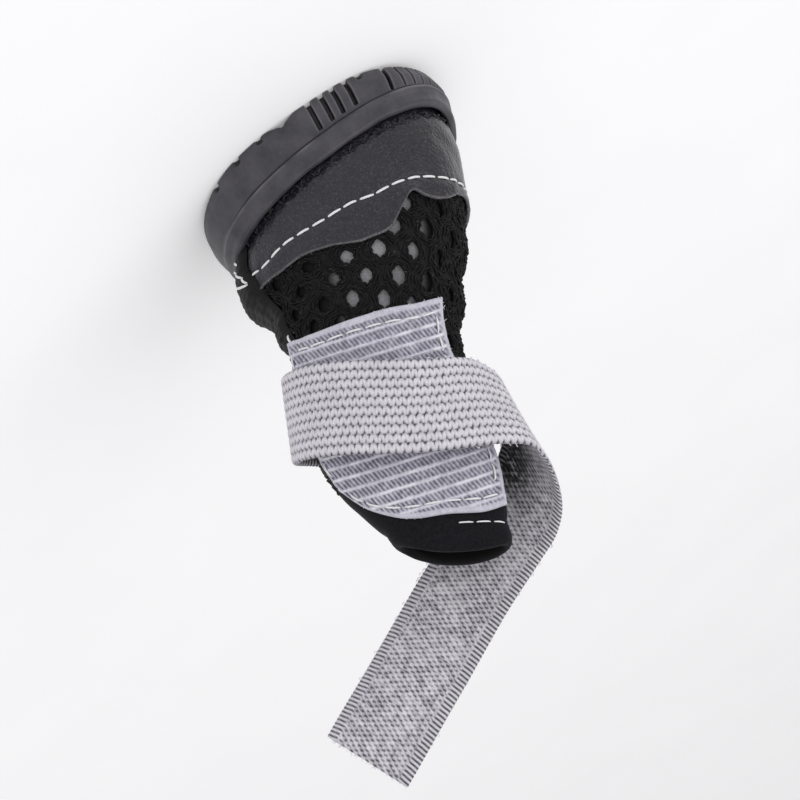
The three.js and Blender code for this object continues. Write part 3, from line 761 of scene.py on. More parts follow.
def net():
    y1 = 0.237
    corner = np.array([(0.5, y1), (0, 1 - y1), (-0.5, y1), (-0.5, -y1), (0, -(1 - y1)), (0.5, -y1)])
    steps = [6, 6, 3, 6, 6, 3]
    hexa = []
    for i in range(6):
        p, q = corner[i], corner[(i + 1) % 6]
        hexa += [p + (q - p) * k / steps[i] for k in range(steps[i])]
    hexa = np.array(hexa)
    m = len(hexa)
    r = np.hypot(hexa[:, 0] / 0.5, hexa[:, 1] / 0.78)
    hole = hexa * np.array([0.37, 0.47]) * 0.55 + hexa / r[:, None] * np.array([0.37, 0.47]) * 0.45
    outer = [(0.0, -0.62), (0.05, -0.42), (0.13, -0.24), (0.25, -0.10), (0.40, -0.02), (0.56, 0.0), (0.72, -0.05), (0.87, -0.12), (1.0, -0.16)]
    inner = [(0.07, -0.86), (0.4, -1.0), (1.0, -1.02)]
    verts, faces, key, tw = [], [], {}, []
    keys_in = {}
    cells, yarn_paths = [], []
    count = 0
    for row in range(-6, 13):
        for col in range(COLUMNS):
            q = Q0 + (col + 0.5 * (row % 2)) / COLUMNS
            s_mid = float(net_height(row, np.array(q)))
            if s_mid < 17.5 or s_mid > 72.5:
                continue
            cells.append((row, col, q))
    for row, col, q in cells:
        jig = 0.10 * (hashed(np.int64(row), np.int64(col), np.int64(1), 5) - 0.5), 0.14 * (hashed(np.int64(row), np.int64(col), np.int64(2), 5) - 0.5)
        size = 0.85 + 0.35 * hashed(np.int64(row), np.int64(col), np.int64(3), 5)
        half_col = 2 * col + (row % 2)
        ring_ids = []
        for layer, rings in ((0, outer), (1, inner)):
            for t, d in rings:
                uv = hole * size + np.array(jig) + (hexa - hole * size - np.array(jig)) * t
                if t < 1:
                    ids = np.arange(count, count + m)
                    count += m
                    verts.append(np.stack([q + uv[:, 0] / COLUMNS, row + uv[:, 1], np.full(m, d), np.full(m, layer)], -1))
                else:
                    ids = np.empty(m, np.int64)
                    for k in range(m):
                        kk = (layer, int(round((half_col / 2 + uv[k, 0]) * 1000)) % (COLUMNS * 1000), int(round((row + uv[k, 1]) * 1000)))
                        if kk not in key:
                            key[kk] = count
                            verts.append(np.array([[q + uv[k, 0] / COLUMNS, row + uv[k, 1], d, layer]]))
                            count += 1
                        ids[k] = key[kk]
                ring_ids.append(ids)
        order = list(range(len(outer) - 1, -1, -1)) + list(range(len(outer), len(outer) + len(inner)))
        for r0, r1 in zip(order[:-1], order[1:]):
            A, B = ring_ids[r0], ring_ids[r1]
            faces.append(np.stack([A, np.roll(A, -1), np.roll(B, -1), B], -1))
        cells_uv = hole * size + np.array(jig)
        yarn_paths.append((row, q, cells_uv))
    V = np.concatenate(verts)
    F = np.concatenate(faces)
    # close the rim of the net between its two faces
    e = np.concatenate([F[:, [0, 1]], F[:, [1, 2]], F[:, [2, 3]], F[:, [3, 0]]])
    code = np.sort(e, 1)
    uniq, inv, cnt = np.unique(code[:, 0] * 10 ** 7 + code[:, 1], return_inverse=True, return_counts=True)
    open_edges = e[cnt[inv] == 1]
    back = {}
    for kk, i in key.items():
        if kk[0] == 0:
            back[i] = key[(1,) + kk[1:]]
    rim = np.array([[b, a2, back[a2], back[b]] for a2, b in open_edges if a2 in back and b in back])
    a = angle_of(V[:, 0])
    s = np.clip(33.0 + ROW_STEP * V[:, 1] + 8.9 * (np.cos(a) - math.cos(math.radians(82.0))), 14.0, 74.5)
    P = skin(s, a, V[:, 2])
    n = normal_at(s, a)
    bulk = noise(P, 1.0, 31) * 0.16 + noise(P, 0.5, 32) * 0.09
    P = P + n * (np.where(V[:, 3] == 0, bulk, 0) - 0.05)[:, None]
    ob = make('mesh_net', P, [np.concatenate([F, rim])] if len(rim) else [F], NET)
    # knitted yarn laid round each hole
    yb = Bundle()
    keep = np.arange(0, m, 1)
    for row, q, hv in yarn_paths:
        s_mid = float(net_height(row, np.array(q)))
        if s_mid < 20.5 or s_mid > 71.0:
            continue
        for t, d, rad in ((0.16, -0.14, 0.27), (0.45, 0.06, 0.26), (0.76, -0.02, 0.24)):
            hx = hv + (hexa - hv) * t
            seed = int(row * 40 + round(q * 1000)) * 3 + int(t * 10)
            ph = hashed(np.int64(seed), np.int64(4), np.int64(7), 2) * TAU
            wob = np.arange(m) / m * TAU
            hx = hx + (hexa - hv) * (0.11 * np.sin(wob * 7 + ph))[:, None]
            hx = hx[::1]
            aa = angle_of(q + hx[:, 0] / COLUMNS)
            ss = 33.0 + ROW_STEP * (row + hx[:, 1]) + 8.9 * (np.cos(aa) - math.cos(math.radians(82.0)))
            lift = d + 0.20 * np.sin(wob * 6 + ph * 2) + 0.1 * np.sin(wob * 11 + ph)
            p = skin(np.clip(ss, 14, 74.5), aa, lift)
            nn = normal_at(np.clip(ss, 14, 74.5), aa)
            rr = rad * (0.85 + 0.3 * np.sin(wob * 9 + ph * 3) ** 2)
            yb.tube(p, rr, 4, 1.0, nn, hashed(np.int64(seed), np.int64(1), np.int64(1), 3), ring=True)
    return ob, yb.build('mesh_yarn', YARN)


net_ob, yarn_ob = net()
piece(net_ob, 'mesh', 'upper')
piece(yarn_ob, 'mesh')


def lining():
    up = np.linspace(8.5, 84, 50)
    down = up[::-1]
    a = angle_of(np.arange(150) / 150)
    s = np.concatenate([up, down])
    side = np.concatenate([np.zeros(50), np.ones(50)])
    A, S = np.meshgrid(a, s, indexing='ij')
    T = np.broadcast_to(side, S.shape)
    deg = np.degrees(A) % 360
    # the lining keeps its own grey only in two patches close behind the net; elsewhere, and on its back, it is painted
    # near-black as shade, broken up by noise
    near = smooth(48, 62, deg) * smooth(116, 102, deg) * smooth(20, 26, S) * smooth(52, 46, S)
    far = smooth(240, 255, deg) * smooth(310, 295, deg) * smooth(20, 26, S) * smooth(60, 52, S)
    close = np.maximum(near, 0.8 * far)
    D = np.where(T < 0.5, -1.32 + 0.18 * close, -1.62)
    P = skin(S, A, D)
    n = normal_at(S, A)
    P = P + n * (noise(P, 5.0, 41) * 0.08)[..., None]
    shade_breakup = noise(P, 5.5, 43)
    painted_shade = np.where(T < 0.5, np.clip(1 - close * (0.75 + 0.5 * shade_breakup) * 1.1, 0, 1), 1.0)
    return make('lining', P, quads(150, 100, True, True), LINING, {'painted_shade': painted_shade})


piece(lining(), 'mesh')


def collar():
    out_s = np.linspace(69.5, S_TOP - 0.2, 34)
    lip = np.array([S_TOP, S_TOP, S_TOP])
    in_s = np.linspace(S_TOP - 0.3, 62, 22)
    back_in = in_s[::-1]
    back_out = out_s[::-1][1:]
    s = np.concatenate([out_s, lip, in_s, back_in[:-1], [S_TOP - 0.4], back_out])
    d = np.concatenate([np.full(34, 0.22), [-0.1, -0.8, -1.5], np.full(22, -1.86), np.full(21, -1.66), [-0.8], np.full(33, -0.02)])
    kind = np.concatenate([np.zeros(34), [0.1, 0.5, 0.9], np.ones(22), np.ones(21), [1], np.zeros(33)])
    a = angle_of(np.arange(200) / 200)
    A, S = np.meshgrid(a, s, indexing='ij')
    D = np.broadcast_to(d, S.shape).copy()
    K = np.broadcast_to(kind, S.shape)
    # a turned hem: a soft roll at the rim and a shallow trough under its seam
    seam = 85.2
    roll = 0.45 * np.exp(-((S - 88.0) / 1.3) ** 2) - 0.30 * np.exp(-((S - seam) / 0.7) ** 2)
    D += np.where(K < 0.2, roll, 0)
    P = skin(S, A, D)
    n = normal_at(S, A)
    P += n * (noise(P, 4.5, 51) * 0.22 * smooth(68, 74, S))[..., None]
    lift = np.array([0.0, 0.25, 0.0])
    for k, v in zip((34, 35, 36), (0.25, 0.45, 0.25)):
        tilt = outer_face(np.full_like(a, S_TOP), a) - outer_face(np.full_like(a, S_TOP - 0.5), a)
        tilt /= np.linalg.norm(tilt, axis=1, keepdims=True)
        P[:, k] += tilt * v
    # the inner faces, turned down into the shoe, carry painted shade
    return make('collar_cloth', P, quads(200, len(s), True, True), CLOTH, {'painted_shade': smooth(0.3, 1.0, K)})


piece(collar(), 'mesh')


# ------------------------------------------------------------------ heel seam tape
def heel_tape():
    s = np.concatenate([np.linspace(12.8, 36, 110), np.linspace(36.5, 70, 60)])
    h = np.linspace(-1, 1, 27)
    S, H = np.meshgrid(s, h, indexing='ij')
    A = np.radians(180 + H * (27 + 1.2 * np.sin(S * 0.7)))
    over = 0.35 + 1.05 * smooth(23.5, 20.5, S)
    low = 0.3 * smooth(34, 36.5, S)
    bulge = 1.2 * smooth(26, 22, S) * smooth(11.5, 14.5, S)
    top = over - low + 0.42 * smooth(36.5, 33, S) + bulge
    edge = np.sqrt(np.clip(1 - np.abs(H) ** 8, 0, 1))
    rib = 0.10 * np.sin(H * 13.5) * smooth(36, 33, S) + 0.07 * np.sin(S * 5.2 + H * 2)
    fold = 0.5 * np.exp(-((S - 30.8) / 0.9) ** 2) - 0.25 * np.exp(-((S - 29.2) / 0.6) ** 2) + 0.25 * np.exp(-((S - 24.2) / 1.1) ** 2)
    D1 = np.where(S < 36, over + (top - over + rib + fold) * edge, 0.18 + 0.08 * edge)
    D0 = np.where(S < 36, over - 0.12, 0.04)
    P1, P0 = skin(S, A, D1), skin(S, A, D0)
    P1 = P1 + normal_at(S, A) * (noise(P1, 0.9, 61) * 0.10 * edge)[..., None]
    P = np.concatenate([P1, P0[:, ::-1]], 1)
    nu, nv = P.shape[:2]
    F = quads(nu, nv, False, True)
    k = np.arange(26)
    cap0 = np.stack([k, k + 1, nv - 2 - k, nv - 1 - k], 1)
    cap1 = cap0[:, ::-1] + (nu - 1) * nv
    return make('heel_tape', P, [np.concatenate([F, cap0, cap1])], NET)


piece(heel_tape(), 'mesh')


def short_stitches(name, rows, material, slot, radius=0.3):
    b = Bundle()
    for s0, a0, s1, a1, h in rows:
        at, ln = line_on([(s0, a0), ((s0 + s1) / 2, (a0 + a1) / 2), (s1, a1)], h, 40)
        stitch_row(b, at, ln + 1e-6, 99, ln, radius, radius * 0.75)
    return piece(b.build(name, material), slot)


short_stitches('heel_stitches', [
    (13.0, 168, 15.2, 159.5, 3.0), (14.6, 169, 15.6, 165, 3.0), (15.6, 165, 17.8, 157, 3.0), (17.8, 157, 19.4, 155.5, 3.0),
    (16.7, 172.5, 19.8, 155.5, 3.0), (16.0, 188, 18.4, 198, 3.0), (19.4, 190, 17.6, 200, 3.0), (34.6, 158, 37.4, 156, 0.62)], WHITE, 'mesh', 0.30)


# ------------------------------------------------------------------ leather band
def table_round(rows):
    deg = np.array([r[0] for r in rows], float)
    val = np.array([r[1] for r in rows], float)
    f = hermite(deg, val)
    return lambda a: f(np.where(np.degrees(a) % 360 > 180, 360 - np.degrees(a) % 360, np.degrees(a) % 360))


leather_top, leather_seam = table_round(LEATHER_EDGE), table_round(LEATHER_SEAM)


def leather():
    n = 560
    a = angle_of(np.arange(n) / n)
    top = leather_top(a) + 0.10 * noise(np.stack([np.cos(a) * 20, np.sin(a) * 20, a * 0], -1), 1.6, 71)
    seam = leather_seam(a)
    v = np.concatenate([np.linspace(0, 0.86, 38), np.linspace(0.88, 1, 10)])
    S = LEATHER_FOOT + (top - LEATHER_FOOT)[:, None] * v[None]
    A = np.repeat(a[:, None], len(v), 1)
    deg = np.degrees(A) % 360
    ed = top[:, None] - S
    notch = np.exp(-((np.where(deg > 180, 360 - deg, deg) - 62) / 7.5) ** 2)
    lobe = np.exp(-((np.where(deg > 180, 360 - deg, deg) - 38) / 9.0) ** 2)
    flare = (0.75 * notch + 0.45 * lobe) * np.exp(-(ed / 1.6) ** 2)
    pull = -0.22 * np.exp(-((S - seam[:, None]) / 0.55) ** 2)
    pull += 0.10 * np.exp(-((S - seam[:, None] - 1.5) / 0.9) ** 2)
    foot = -0.35 * smooth(14.2, 12.2, S)
    tucks = 0.10 * np.sin(part_of(A) * GIRTH * 2.3) * np.exp(-((S - 13.2) / 1.1) ** 2)
    D = 1.2 + flare + pull + foot + tucks
    P1 = skin(S, A, D)
    nn = normal_at(S, A)
    P1 += nn * (noise(P1, 4.0, 72) * 0.10 + noise(P1 * np.array([1, 1, 1.7]), 1.3, 73) * 0.045)[..., None]
    vi = np.linspace(1, 0, 14)
    S0 = LEATHER_FOOT + (top - LEATHER_FOOT)[:, None] * vi[None]
    A0 = np.repeat(a[:, None], len(vi), 1)
    ed0 = top[:, None] - S0
    fl0 = (0.75 * notch[:, :1] + 0.45 * lobe[:, :1]) * np.exp(-(ed0 / 1.6) ** 2)
    P0 = skin(S0, A0, 0.42 + fl0)
    # the rounded cut edge between the faces
    lipS = top[:, None] + np.array([0.12, 0.2, 0.2, 0.12])[None]
    lipA = np.repeat(a[:, None], 4, 1)
    lipD = (0.42 + fl0[:, :1]) + (1.2 - 0.42) * np.array([0.85, 0.62, 0.36, 0.12])[None]
    PL = skin(lipS, lipA, lipD)
    PL += (noise(PL, 0.5, 74) * 0.10)[..., None] * normal_at(lipS, lipA)
    P = np.concatenate([P1, PL, P0], 1)
    cut = np.concatenate([smooth(0.30, 0.04, ed) * np.ones_like(ed), np.ones((n, 4)), smooth(1.5, 0.2, ed0)], 1)
    return make('leather', P, quads(n, P.shape[1], True, True), LEATHER, {'cut': cut})


piece(leather(), 'leather', 'leather_band')


def ring_line(table, height, a0, a1, count=3000):
    a = np.radians(np.linspace(a0, a1, count))
    s = table(a)
    p, n = skin(s, a, height), normal_at(s, a)
    ln = np.concatenate([[0], np.cumsum(np.linalg.norm(np.diff(p, axis=0), axis=1))])

    def at(l):
        return (np.stack([np.interp(l, ln, p[:, k]) for k in range(3)], -1),
                np.stack([np.interp(l, ln, n[:, k]) for k in range(3)], -1))
    return at, ln[-1]


def leather_stitches():
    b = Bundle()
    for a0, a1 in ((155.5, 0.0), (0.0, -155.5)):
        at, ln = ring_line(leather_seam, 1.02, a0, a1)
        stitch_row(b, at, ln, 3.72, 3.30, 0.27, 0.20, 0.1)
    return b.build('leather_stitches', WHITE)


piece(leather_stitches(), 'leather')


def rim_loops():
    """black thread loops that hold the upper in the cup, along the rubber's rim"""
    b = Bundle()
    l = 0.0
    k = 0
    while l < 1.0:
        a = float(angle_of(np.array(l)))
        r1, r2, r3 = (float(hashed(np.int64(k), np.int64(j), np.int64(9), 12)) for j in (1, 2, 3))
        t = np.linspace(0, 1, 7)
        da = (0.018 + 0.03 * r1) * (1 if k % 2 else -1) * t
        s = 12.0 + (0.6 + 0.7 * r2) * t
        d = 0.45 + 0.95 * np.sin(np.pi * (0.15 + 0.7 * t)) * (0.75 + 0.4 * r3)
        p = skin(s, a + da, d)
        b.tube(p, 0.14 * (0.7 + 0.5 * np.sin(np.pi * t)), 6, 1.0, normal_at(s, a + da), r1)
        l += (1.0 + 1.1 * r3) / GIRTH
        k += 1
    for w in range(2):
        q = np.arange(420) / 420
        a = angle_of(q)
        s = 12.35 + 0.75 * w + 0.18 * np.sin(q * TAU * 71 + w) + 0.1 * np.sin(q * TAU * 29)
        d = 0.78 + 0.12 * np.sin(q * TAU * 97 + w * 2)
        b.tube(skin(s, a, d), 0.14, 5, 1.0, normal_at(s, a), 0.2, ring=True)
    return b.build('rim_loops', BLACK)


piece(rim_loops(), 'leather')

# ------------------------------------------------------------------ hook tape panel
panel_edge = hermite(np.linspace(0, 1, len(PANEL_EDGES)), PANEL_EDGES)


def panel_sa(u, v):
    e = panel_edge(u)
    # the front edge bows forward where the strap turns away from it
    bow = 9.0 * smooth(0.30, 0.0, u) * smooth(0.25, 0.60, v) * smooth(1.0, 0.75, v)
    return e[..., 1] + (e[..., 3] - e[..., 1]) * v, np.radians(e[..., 0] + (e[..., 2] - e[..., 0]) * v - bow)


# across the tape's rows and along them
ROW_DIR, ALONG_DIR, ROW_PITCH = np.array([0.2883, 0.3912, -0.8741]), np.array([0.951, -0.0092, 0.3095]), 2.45


def panel():
    nu, nv = 300, 215
    u, v = np.linspace(0, 1, nu), np.linspace(0, 1, nv)
    U, V = np.meshgrid(u, v, indexing='ij')
    wav = 0.006 * noise(np.stack([V * 30, U * 0, U * 0], -1), 0.7, 81) * (np.exp(-U / 0.02) + np.exp(-(1 - U) / 0.02))
    # the upper heel corner is cut round
    round_off = 0.055 * smooth(0.82, 1.0, U) ** 2 * smooth(0.7, 1.0, V)
    S, A = panel_sa(U + wav, V * (1 - round_off))
    P0 = skin(S, A, 1.0)
    row = P0 @ ROW_DIR / ROW_PITCH + 100
    ph = row - np.floor(row)
    dash = P0 @ ALONG_DIR / 0.86 + ph * 1.35 + 0.4 * np.floor(row)
    st = 0.5 + 0.5 * np.cos(TAU * dash)
    band = smooth(0.10, 0.26, ph) * smooth(0.98, 0.80, ph)
    h = 0.62 - 0.62 * band * (1 - st) ** 1.2
    rib = np.exp(-((ph - 0.02) / 0.10) ** 2) + np.exp(-((ph - 1.02) / 0.10) ** 2)
    h = np.clip(h + 0.42 * rib, 0, 1)
    h = np.clip(h + 0.30 * noise(P0, 0.55, 82), 0, 1)
    # distance in from each edge, mm
    wide_mm, high_mm = 42.0, 42.0
    din = np.minimum(np.minimum(U * wide_mm, (1 - U) * wide_mm), np.minimum(V * high_mm, (1 - V) * high_mm))
    hem = smooth(1.3, 0.9, din)
    h = h * (1 - hem) + (0.78 + 0.12 * noise(P0, 0.6, 83)) * hem
    trough = np.exp(-((din - 2.5) / 0.45) ** 2)
    white = np.clip(rib * smooth(0.25, 0.7, noise(P0 * np.array([0.25, 0.25, 1]), 1.1, 84) + 0.25 * smooth(62, 70, S)), 0, 1) * (1 - hem)
    edge = np.sqrt(np.clip(1 - (1 - np.clip(din / 0.6, 0, 1)) ** 2, 0, 1))
    curl = 0.55 * smooth(0.06, 0.0, U) * smooth(0.15, 0.5, V)
    D = 0.62 + 0.30 * edge + 0.26 * (h - 0.5) * edge - 0.15 * trough + curl
    P1 = skin(S, A, D)
    Pb = skin(S, A, 0.40 + curl)
    return P1, Pb, h, white, (nu, nv)


def panel_object():
    P1, Pb, h, white, (nu, nv) = panel()
    # the inner face is plain, so it keeps only every fourth line of the outer one
    iu = np.unique(np.concatenate([np.arange(0, nu, 6), [nu - 1]]))
    iv = np.unique(np.concatenate([np.arange(0, nv, 6), [nv - 1]]))
    n1 = nu * nv
    gid = {}
    verts_b = []
    rim = [(i, 0) for i in range(nu)] + [(i, nv - 1) for i in range(nu)] + [(0, j) for j in range(1, nv - 1)] + [(nu - 1, j) for j in range(1, nv - 1)]
    for ij in rim:
        gid[ij] = n1 + len(verts_b)
        verts_b.append(Pb[ij])
    walls = []
    for i in range(nu - 1):
        walls.append((i * nv, gid[(i, 0)], gid[(i + 1, 0)], (i + 1) * nv))
        walls.append(((i + 1) * nv + nv - 1, gid[(i + 1, nv - 1)], gid[(i, nv - 1)], i * nv + nv - 1))
    for j in range(nv - 1):
        walls.append((j + 1, gid[(0, j + 1)], gid[(0, j)], j))
        walls.append(((nu - 1) * nv + j, gid[(nu - 1, j)], gid[(nu - 1, j + 1)], (nu - 1) * nv + j + 1))
    # inner face from strips across: each pair of columns joins its two rims through a few rows
    mids = list(iv[1:-1])
    for i in range(nu):
        for j in mids:
            if (i, j) not in gid:
                gid[(i, j)] = n1 + len(verts_b)
                verts_b.append(Pb[i, j])
    inner = []
    js = [0] + mids + [nv - 1]
    for i in range(1, nu - 2):
        for j0, j1 in zip(js[:-1], js[1:]):
            inner.append((gid[(i, j0)], gid[(i, j1)], gid[(i + 1, j1)], gid[(i + 1, j0)]))
    fans = []
    for i, far, flip in ((0, 1, False), (nu - 1, nu - 2, True)):
        for j0, j1 in zip(js[:-1], js[1:]):
            c = gid[(far, j0)]
            chain = [gid[(i, j)] for j in range(j0, j1 + 1)]
            tri = [(c, chain[k], chain[k + 1]) for k in range(len(chain) - 1)] + [(c, chain[-1], gid[(far, j1)])]
            fans += [t[::-1] if flip else t for t in tri]
    V = np.concatenate([P1.reshape(-1, 3), np.array(verts_b)])
    pad = np.full(len(verts_b), 0.5)
    F4 = np.concatenate([quads(nu, nv)[:, ::1], np.array(walls)[:, ::1], np.array(inner)])
    ob = make('hook_tape', V, [F4, np.array(fans)], HOOK,
              {'h': np.concatenate([h.ravel(), pad]), 'white': np.concatenate([white.ravel(), pad * 0])})
    return ob


piece(panel_object(), 'hook_tape', 'hook_panel')


def panel_line(rows, height=0.95):
    rows = np.asarray(rows, float)
    f = hermite(np.arange(len(rows)), rows)
    q = f(np.linspace(0, len(rows) - 1, 900))
    s, a = panel_sa(q[:, 0], q[:, 1])
    p, n = skin(s, a, height), normal_at(s, a)
    ln = np.concatenate([[0], np.cumsum(np.linalg.norm(np.diff(p, axis=0), axis=1))])

    def at(l):
        return (np.stack([np.interp(l, ln, p[:, k]) for k in range(3)], -1),
                np.stack([np.interp(l, ln, n[:, k]) for k in range(3)], -1))
    return at, ln[-1]


def panel_stitches():
    b = Bundle()
    inset = 0.06
    for rows in ([(u, inset + 0.004 * math.sin(u * 9)) for u in np.linspace(0.05, 0.95, 9)],
                 [(u, 1 - inset - 0.09 * max(0, (u - 0.80) / 0.2) ** 1.5) for u in np.linspace(0.05, 0.96, 11)],
                 [(0.955, v) for v in np.linspace(0.08, 0.86, 8)],
                 [(0.055, v) for v in np.linspace(0.08, 0.93, 8)]):
        at, ln = panel_line(rows)
        stitch_row(b, at, ln, 4.1, 3.3, 0.22, 0.16, 0.2)
    return b.build('hook_stitches', WHITE)


piece(panel_stitches(), 'hook_tape')


def panel_filaments():
    """long white filaments on the ribs of the tape, and the frayed fibres of its cut edges"""
    b = Bundle()
    g = np.random.default_rng(5)
    u, v = np.meshgrid(np.linspace(0.075, 0.93, 260), np.linspace(0.10, 0.885, 190), indexing='ij')
    S, A = panel_sa(u, v)
    P = skin(S, A, 1.0).reshape(-1, 3)
    where = np.stack([P @ ALONG_DIR, P @ ROW_DIR], 1)
    S, A = S.ravel(), A.ravel()
    lo, hi = where.min(0), where.max(0)
    t = np.linspace(0, 1, 9)
    for r in np.arange(math.ceil(lo[1] / ROW_PITCH), hi[1] / ROW_PITCH):
        x = lo[0] + g.uniform(0, 3)
        while x < hi[0]:
            long = g.uniform(1.6, 6.5)
            if g.uniform() < 0.7:
                xx = x + t * long
                want = np.stack([xx, r * ROW_PITCH + 0.10 * np.sin(xx * 3.1 + r * 2)], 1)
                far = ((where[None] - want[:, None]) ** 2).sum(2)
                i = far.argmin(1)
                if (far[np.arange(9), i] < 0.04).all():
                    s, a = (np.convolve(np.pad(q[i], 1, 'edge'), [0.25, 0.5, 0.25], 'valid') for q in (S, A))
                    b.tube(skin(s, a, 1.10 + 0.07 * np.sin(xx * 4.2 + r)), 0.10 * np.sin(np.pi * (0.06 + 0.88 * t)) ** 0.3,
                           4, 1, normal_at(s, a), g.uniform())
            x += long + g.uniform(0.5, 2.4)
    for k in range(46):
        v = g.uniform(0.01, 0.99)
        side = g.uniform() < 0.72
        u = 0.002 if side else g.uniform(0.02, 0.98)
        vv = v if side else (0.003 if g.uniform() < 0.5 else 0.997)
        s, a = panel_sa(np.array(u), np.array(vv))
        s, a = float(s), float(a)
        t = np.linspace(0, 1, 6)
        ln = g.uniform(0.2, 0.6)
        if side:
            da, ds = -ln / 17 * t, g.uniform(-0.5, 0.5) * t
        else:
            da, ds = g.uniform(-0.03, 0.03) * t, ln * 0.6 * t * (-1 if vv < 0.5 else 1)
        d = 0.75 + 0.45 * smooth(0.15, 0.5, vv) * (1 if side else 0) + g.uniform(-0.15, 0.35) * t
        b.tube(skin(np.minimum(s + ds, S_TOP), a + da, d), 0.085 * (1 - 0.5 * t), 4, 1, None, g.uniform())
    return b.build('hook_filaments', FILAMENT)


piece(panel_filaments(), 'hook_tape')


def collar_stitches():
    b = Bundle()
    for a0, a1 in ((16, 88),):
        aa = np.linspace(a0, a1, 12)
        at, ln = line_on([(86.4 - 0.02 * abs(x), x) for x in aa], 0.08)
        stitch_row(b, at, ln, 3.6, 3.0, 0.17, 0.12, 0.1)
    return b.build('collar_stitches', WHITE)


piece(collar_stitches(), 'mesh')

# ------------------------------------------------------------------ knit strap
_mid = (STRAP_PATH[:, :3] + STRAP_PATH[:, 3:]) / 2
_st = np.concatenate([[0], np.cumsum(np.linalg.norm(np.diff(_mid, axis=0), axis=1))])
STRAP_LENGTH = float(_st[-1])
strap_edge = hermite(_st, STRAP_PATH)


def strap_at(t, v):
    e = strap_edge(t)
    return e[..., :3] + (e[..., 3:] - e[..., :3]) * v[..., None]


def strap_normal(t):
    e0, e1 = strap_edge(np.clip(t - 0.4, 0, STRAP_LENGTH)), strap_edge(np.clip(t + 0.4, 0, STRAP_LENGTH))
    e = strap_edge(t)
    along = e1[..., :3] + e1[..., 3:] - e0[..., :3] - e0[..., 3:]
    n = np.cross(along, e[..., 3:] - e[..., :3])
    return n / (np.linalg.norm(n, axis=-1, keepdims=True) + 1e-9)


def strap():
    nt, no, ni = 800, 62, 42
    t = np.linspace(0, STRAP_LENGTH, nt)
    vo, vi = np.linspace(0, 1, no), np.linspace(1, 0, ni)
    v = np.concatenate([vo, vi])
    side = np.concatenate([np.zeros(no), np.ones(ni)])
    T, V = np.meshgrid(t, v, indexing='ij')
    K = np.broadcast_to(side, T.shape)
    W = 19.2
    # outer face: ten rows of slanted knit loops
    x, y = T / 1.52, V * 10.0
    row = np.floor(np.clip(y, 0, 9.999))
    fy = np.clip(y, 0, 9.999) - row - 0.5
    jitter = 0.10 * noise(np.stack([T * 0.6, row * 7, row * 0], -1), 1.0, 91)
    fx = x + 0.5 * (row % 2) * 0.3 + jitter
    fx = fx - np.floor(fx)
    h = np.zeros_like(T)
    for cx, sl in ((0.25, 0.42), (0.75, -0.42)):
        for sh in (-1, 0, 1):
            dx = fx - cx - sh - sl * fy * 0.62
            rr = (dx / 0.30) ** 2 + (fy / 0.56) ** 2
            h = np.maximum(h, np.sqrt(np.clip(1 - rr, 0, 1)))
    h_out = h
    # inner face: brushed loops in the middle, ribbed selvedges
    Pm = strap_at(T, V)
    brush = 0.5 + 0.5 * noise(np.stack([T, V * W, T * 0], -1), 0.85, 92)
    brush = np.clip(0.25 + 0.9 * (brush * 0.6 + 0.4 * (0.5 + 0.5 * noise(np.stack([T, V * W, T * 0], -1), 0.45, 93))), 0, 1)
    hatch = 0.5 + 0.5 * np.cos(TAU * (T + V * W * 0.6) / 1.15)
    hatch2 = 0.5 + 0.5 * np.cos(TAU * (T - V * W * 0.6) / 1.15)
    middle = 0.55 * brush + 0.45 * np.maximum(hatch, hatch2) ** 2
    sel = smooth(0.115, 0.095, np.minimum(V, 1 - V))
    ribs = (0.5 + 0.5 * np.cos(TAU * (T / 0.92 + np.minimum(V, 1 - V) * 3.0))) ** 0.8 * 0.7 + 0.2
    h_in = middle * (1 - sel) + ribs * sel
    H = np.where(K < 0.5, h_out, h_in)
    edge = np.sqrt(np.clip(1 - np.abs(2 * V - 1) ** 26, 0, 1))
    thick = np.where(K < 0.5, 0.36 + 0.34 * H, 0.34 + 0.26 * H) * (0.25 + 0.75 * edge)
    ends = np.sqrt(np.clip(1 - (1 - np.clip(np.minimum(T, STRAP_LENGTH - T) / 0.5, 0, 1)) ** 2, 0.03, 1))
    thick = thick * ends
    scal = 0.11 * np.abs(np.sin(np.pi * T / 0.95)) * np.exp(-np.minimum(V, 1 - V) / 0.02)
    Vs = V + scal / W * np.sign(V - 0.5) * 1.2
    # soft waves so that it hangs as cloth does
    wave = 0.35 * np.sin(T * 0.11 + 1.0) * smooth(120, 150, T) + 0.18 * noise(np.stack([T, V * 8, T * 0], -1), 9.0, 94)
    cup = -0.30 * (np.abs(2 * V - 1) ** 2) * smooth(118, 140, T)
    N = strap_normal(T)
    P = strap_at(T, Vs) + N * (np.where(K < 0.5, -1, 1) * thick + wave + cup)[..., None]
    nu, nv = nt, no + ni
    F = quads(nu, nv, False, True)
    ob_faces = [F]
    caps = []
    for r, flip in ((0, False), (nt - 1, True)):
        o = r * nv
        a_side = [o + k for k in range(no)]
        b_side = [o + nv - 1 - k for k in range(ni)]
        i = j = 0
        while i < no - 1 or j < ni - 1:
            if j == ni - 1 or (i < no - 1 and (i + 1) / (no - 1) <= (j + 1) / (ni - 1)):
                tri = (a_side[i], a_side[i + 1], b_side[j])
                i += 1
            else:
                tri = (a_side[i], b_side[j + 1], b_side[j])
                j += 1
            caps.append(tri[::-1] if flip else tri)
    hh = np.where(K < 0.5, H, np.clip(0.44 + 2.1 * (H - H[K > 0.5].mean()), 0, 1))
    # the inner face gets painted shade only in the corner where the strap leaves the tape
    turn = smooth(97, 104, T) * smooth(119, 111, T) * smooth(0.78, 0.25, V) * K
    return make('knit_ribbon', P, [F, np.array(caps)], KNIT,
                {'h': hh, 'white': hh * 0, 'painted_shade': turn * (1 - 0.7 * smooth(0.70, 0.92, H))})


piece(strap(), 'knit_strap', 'ankle_strap')


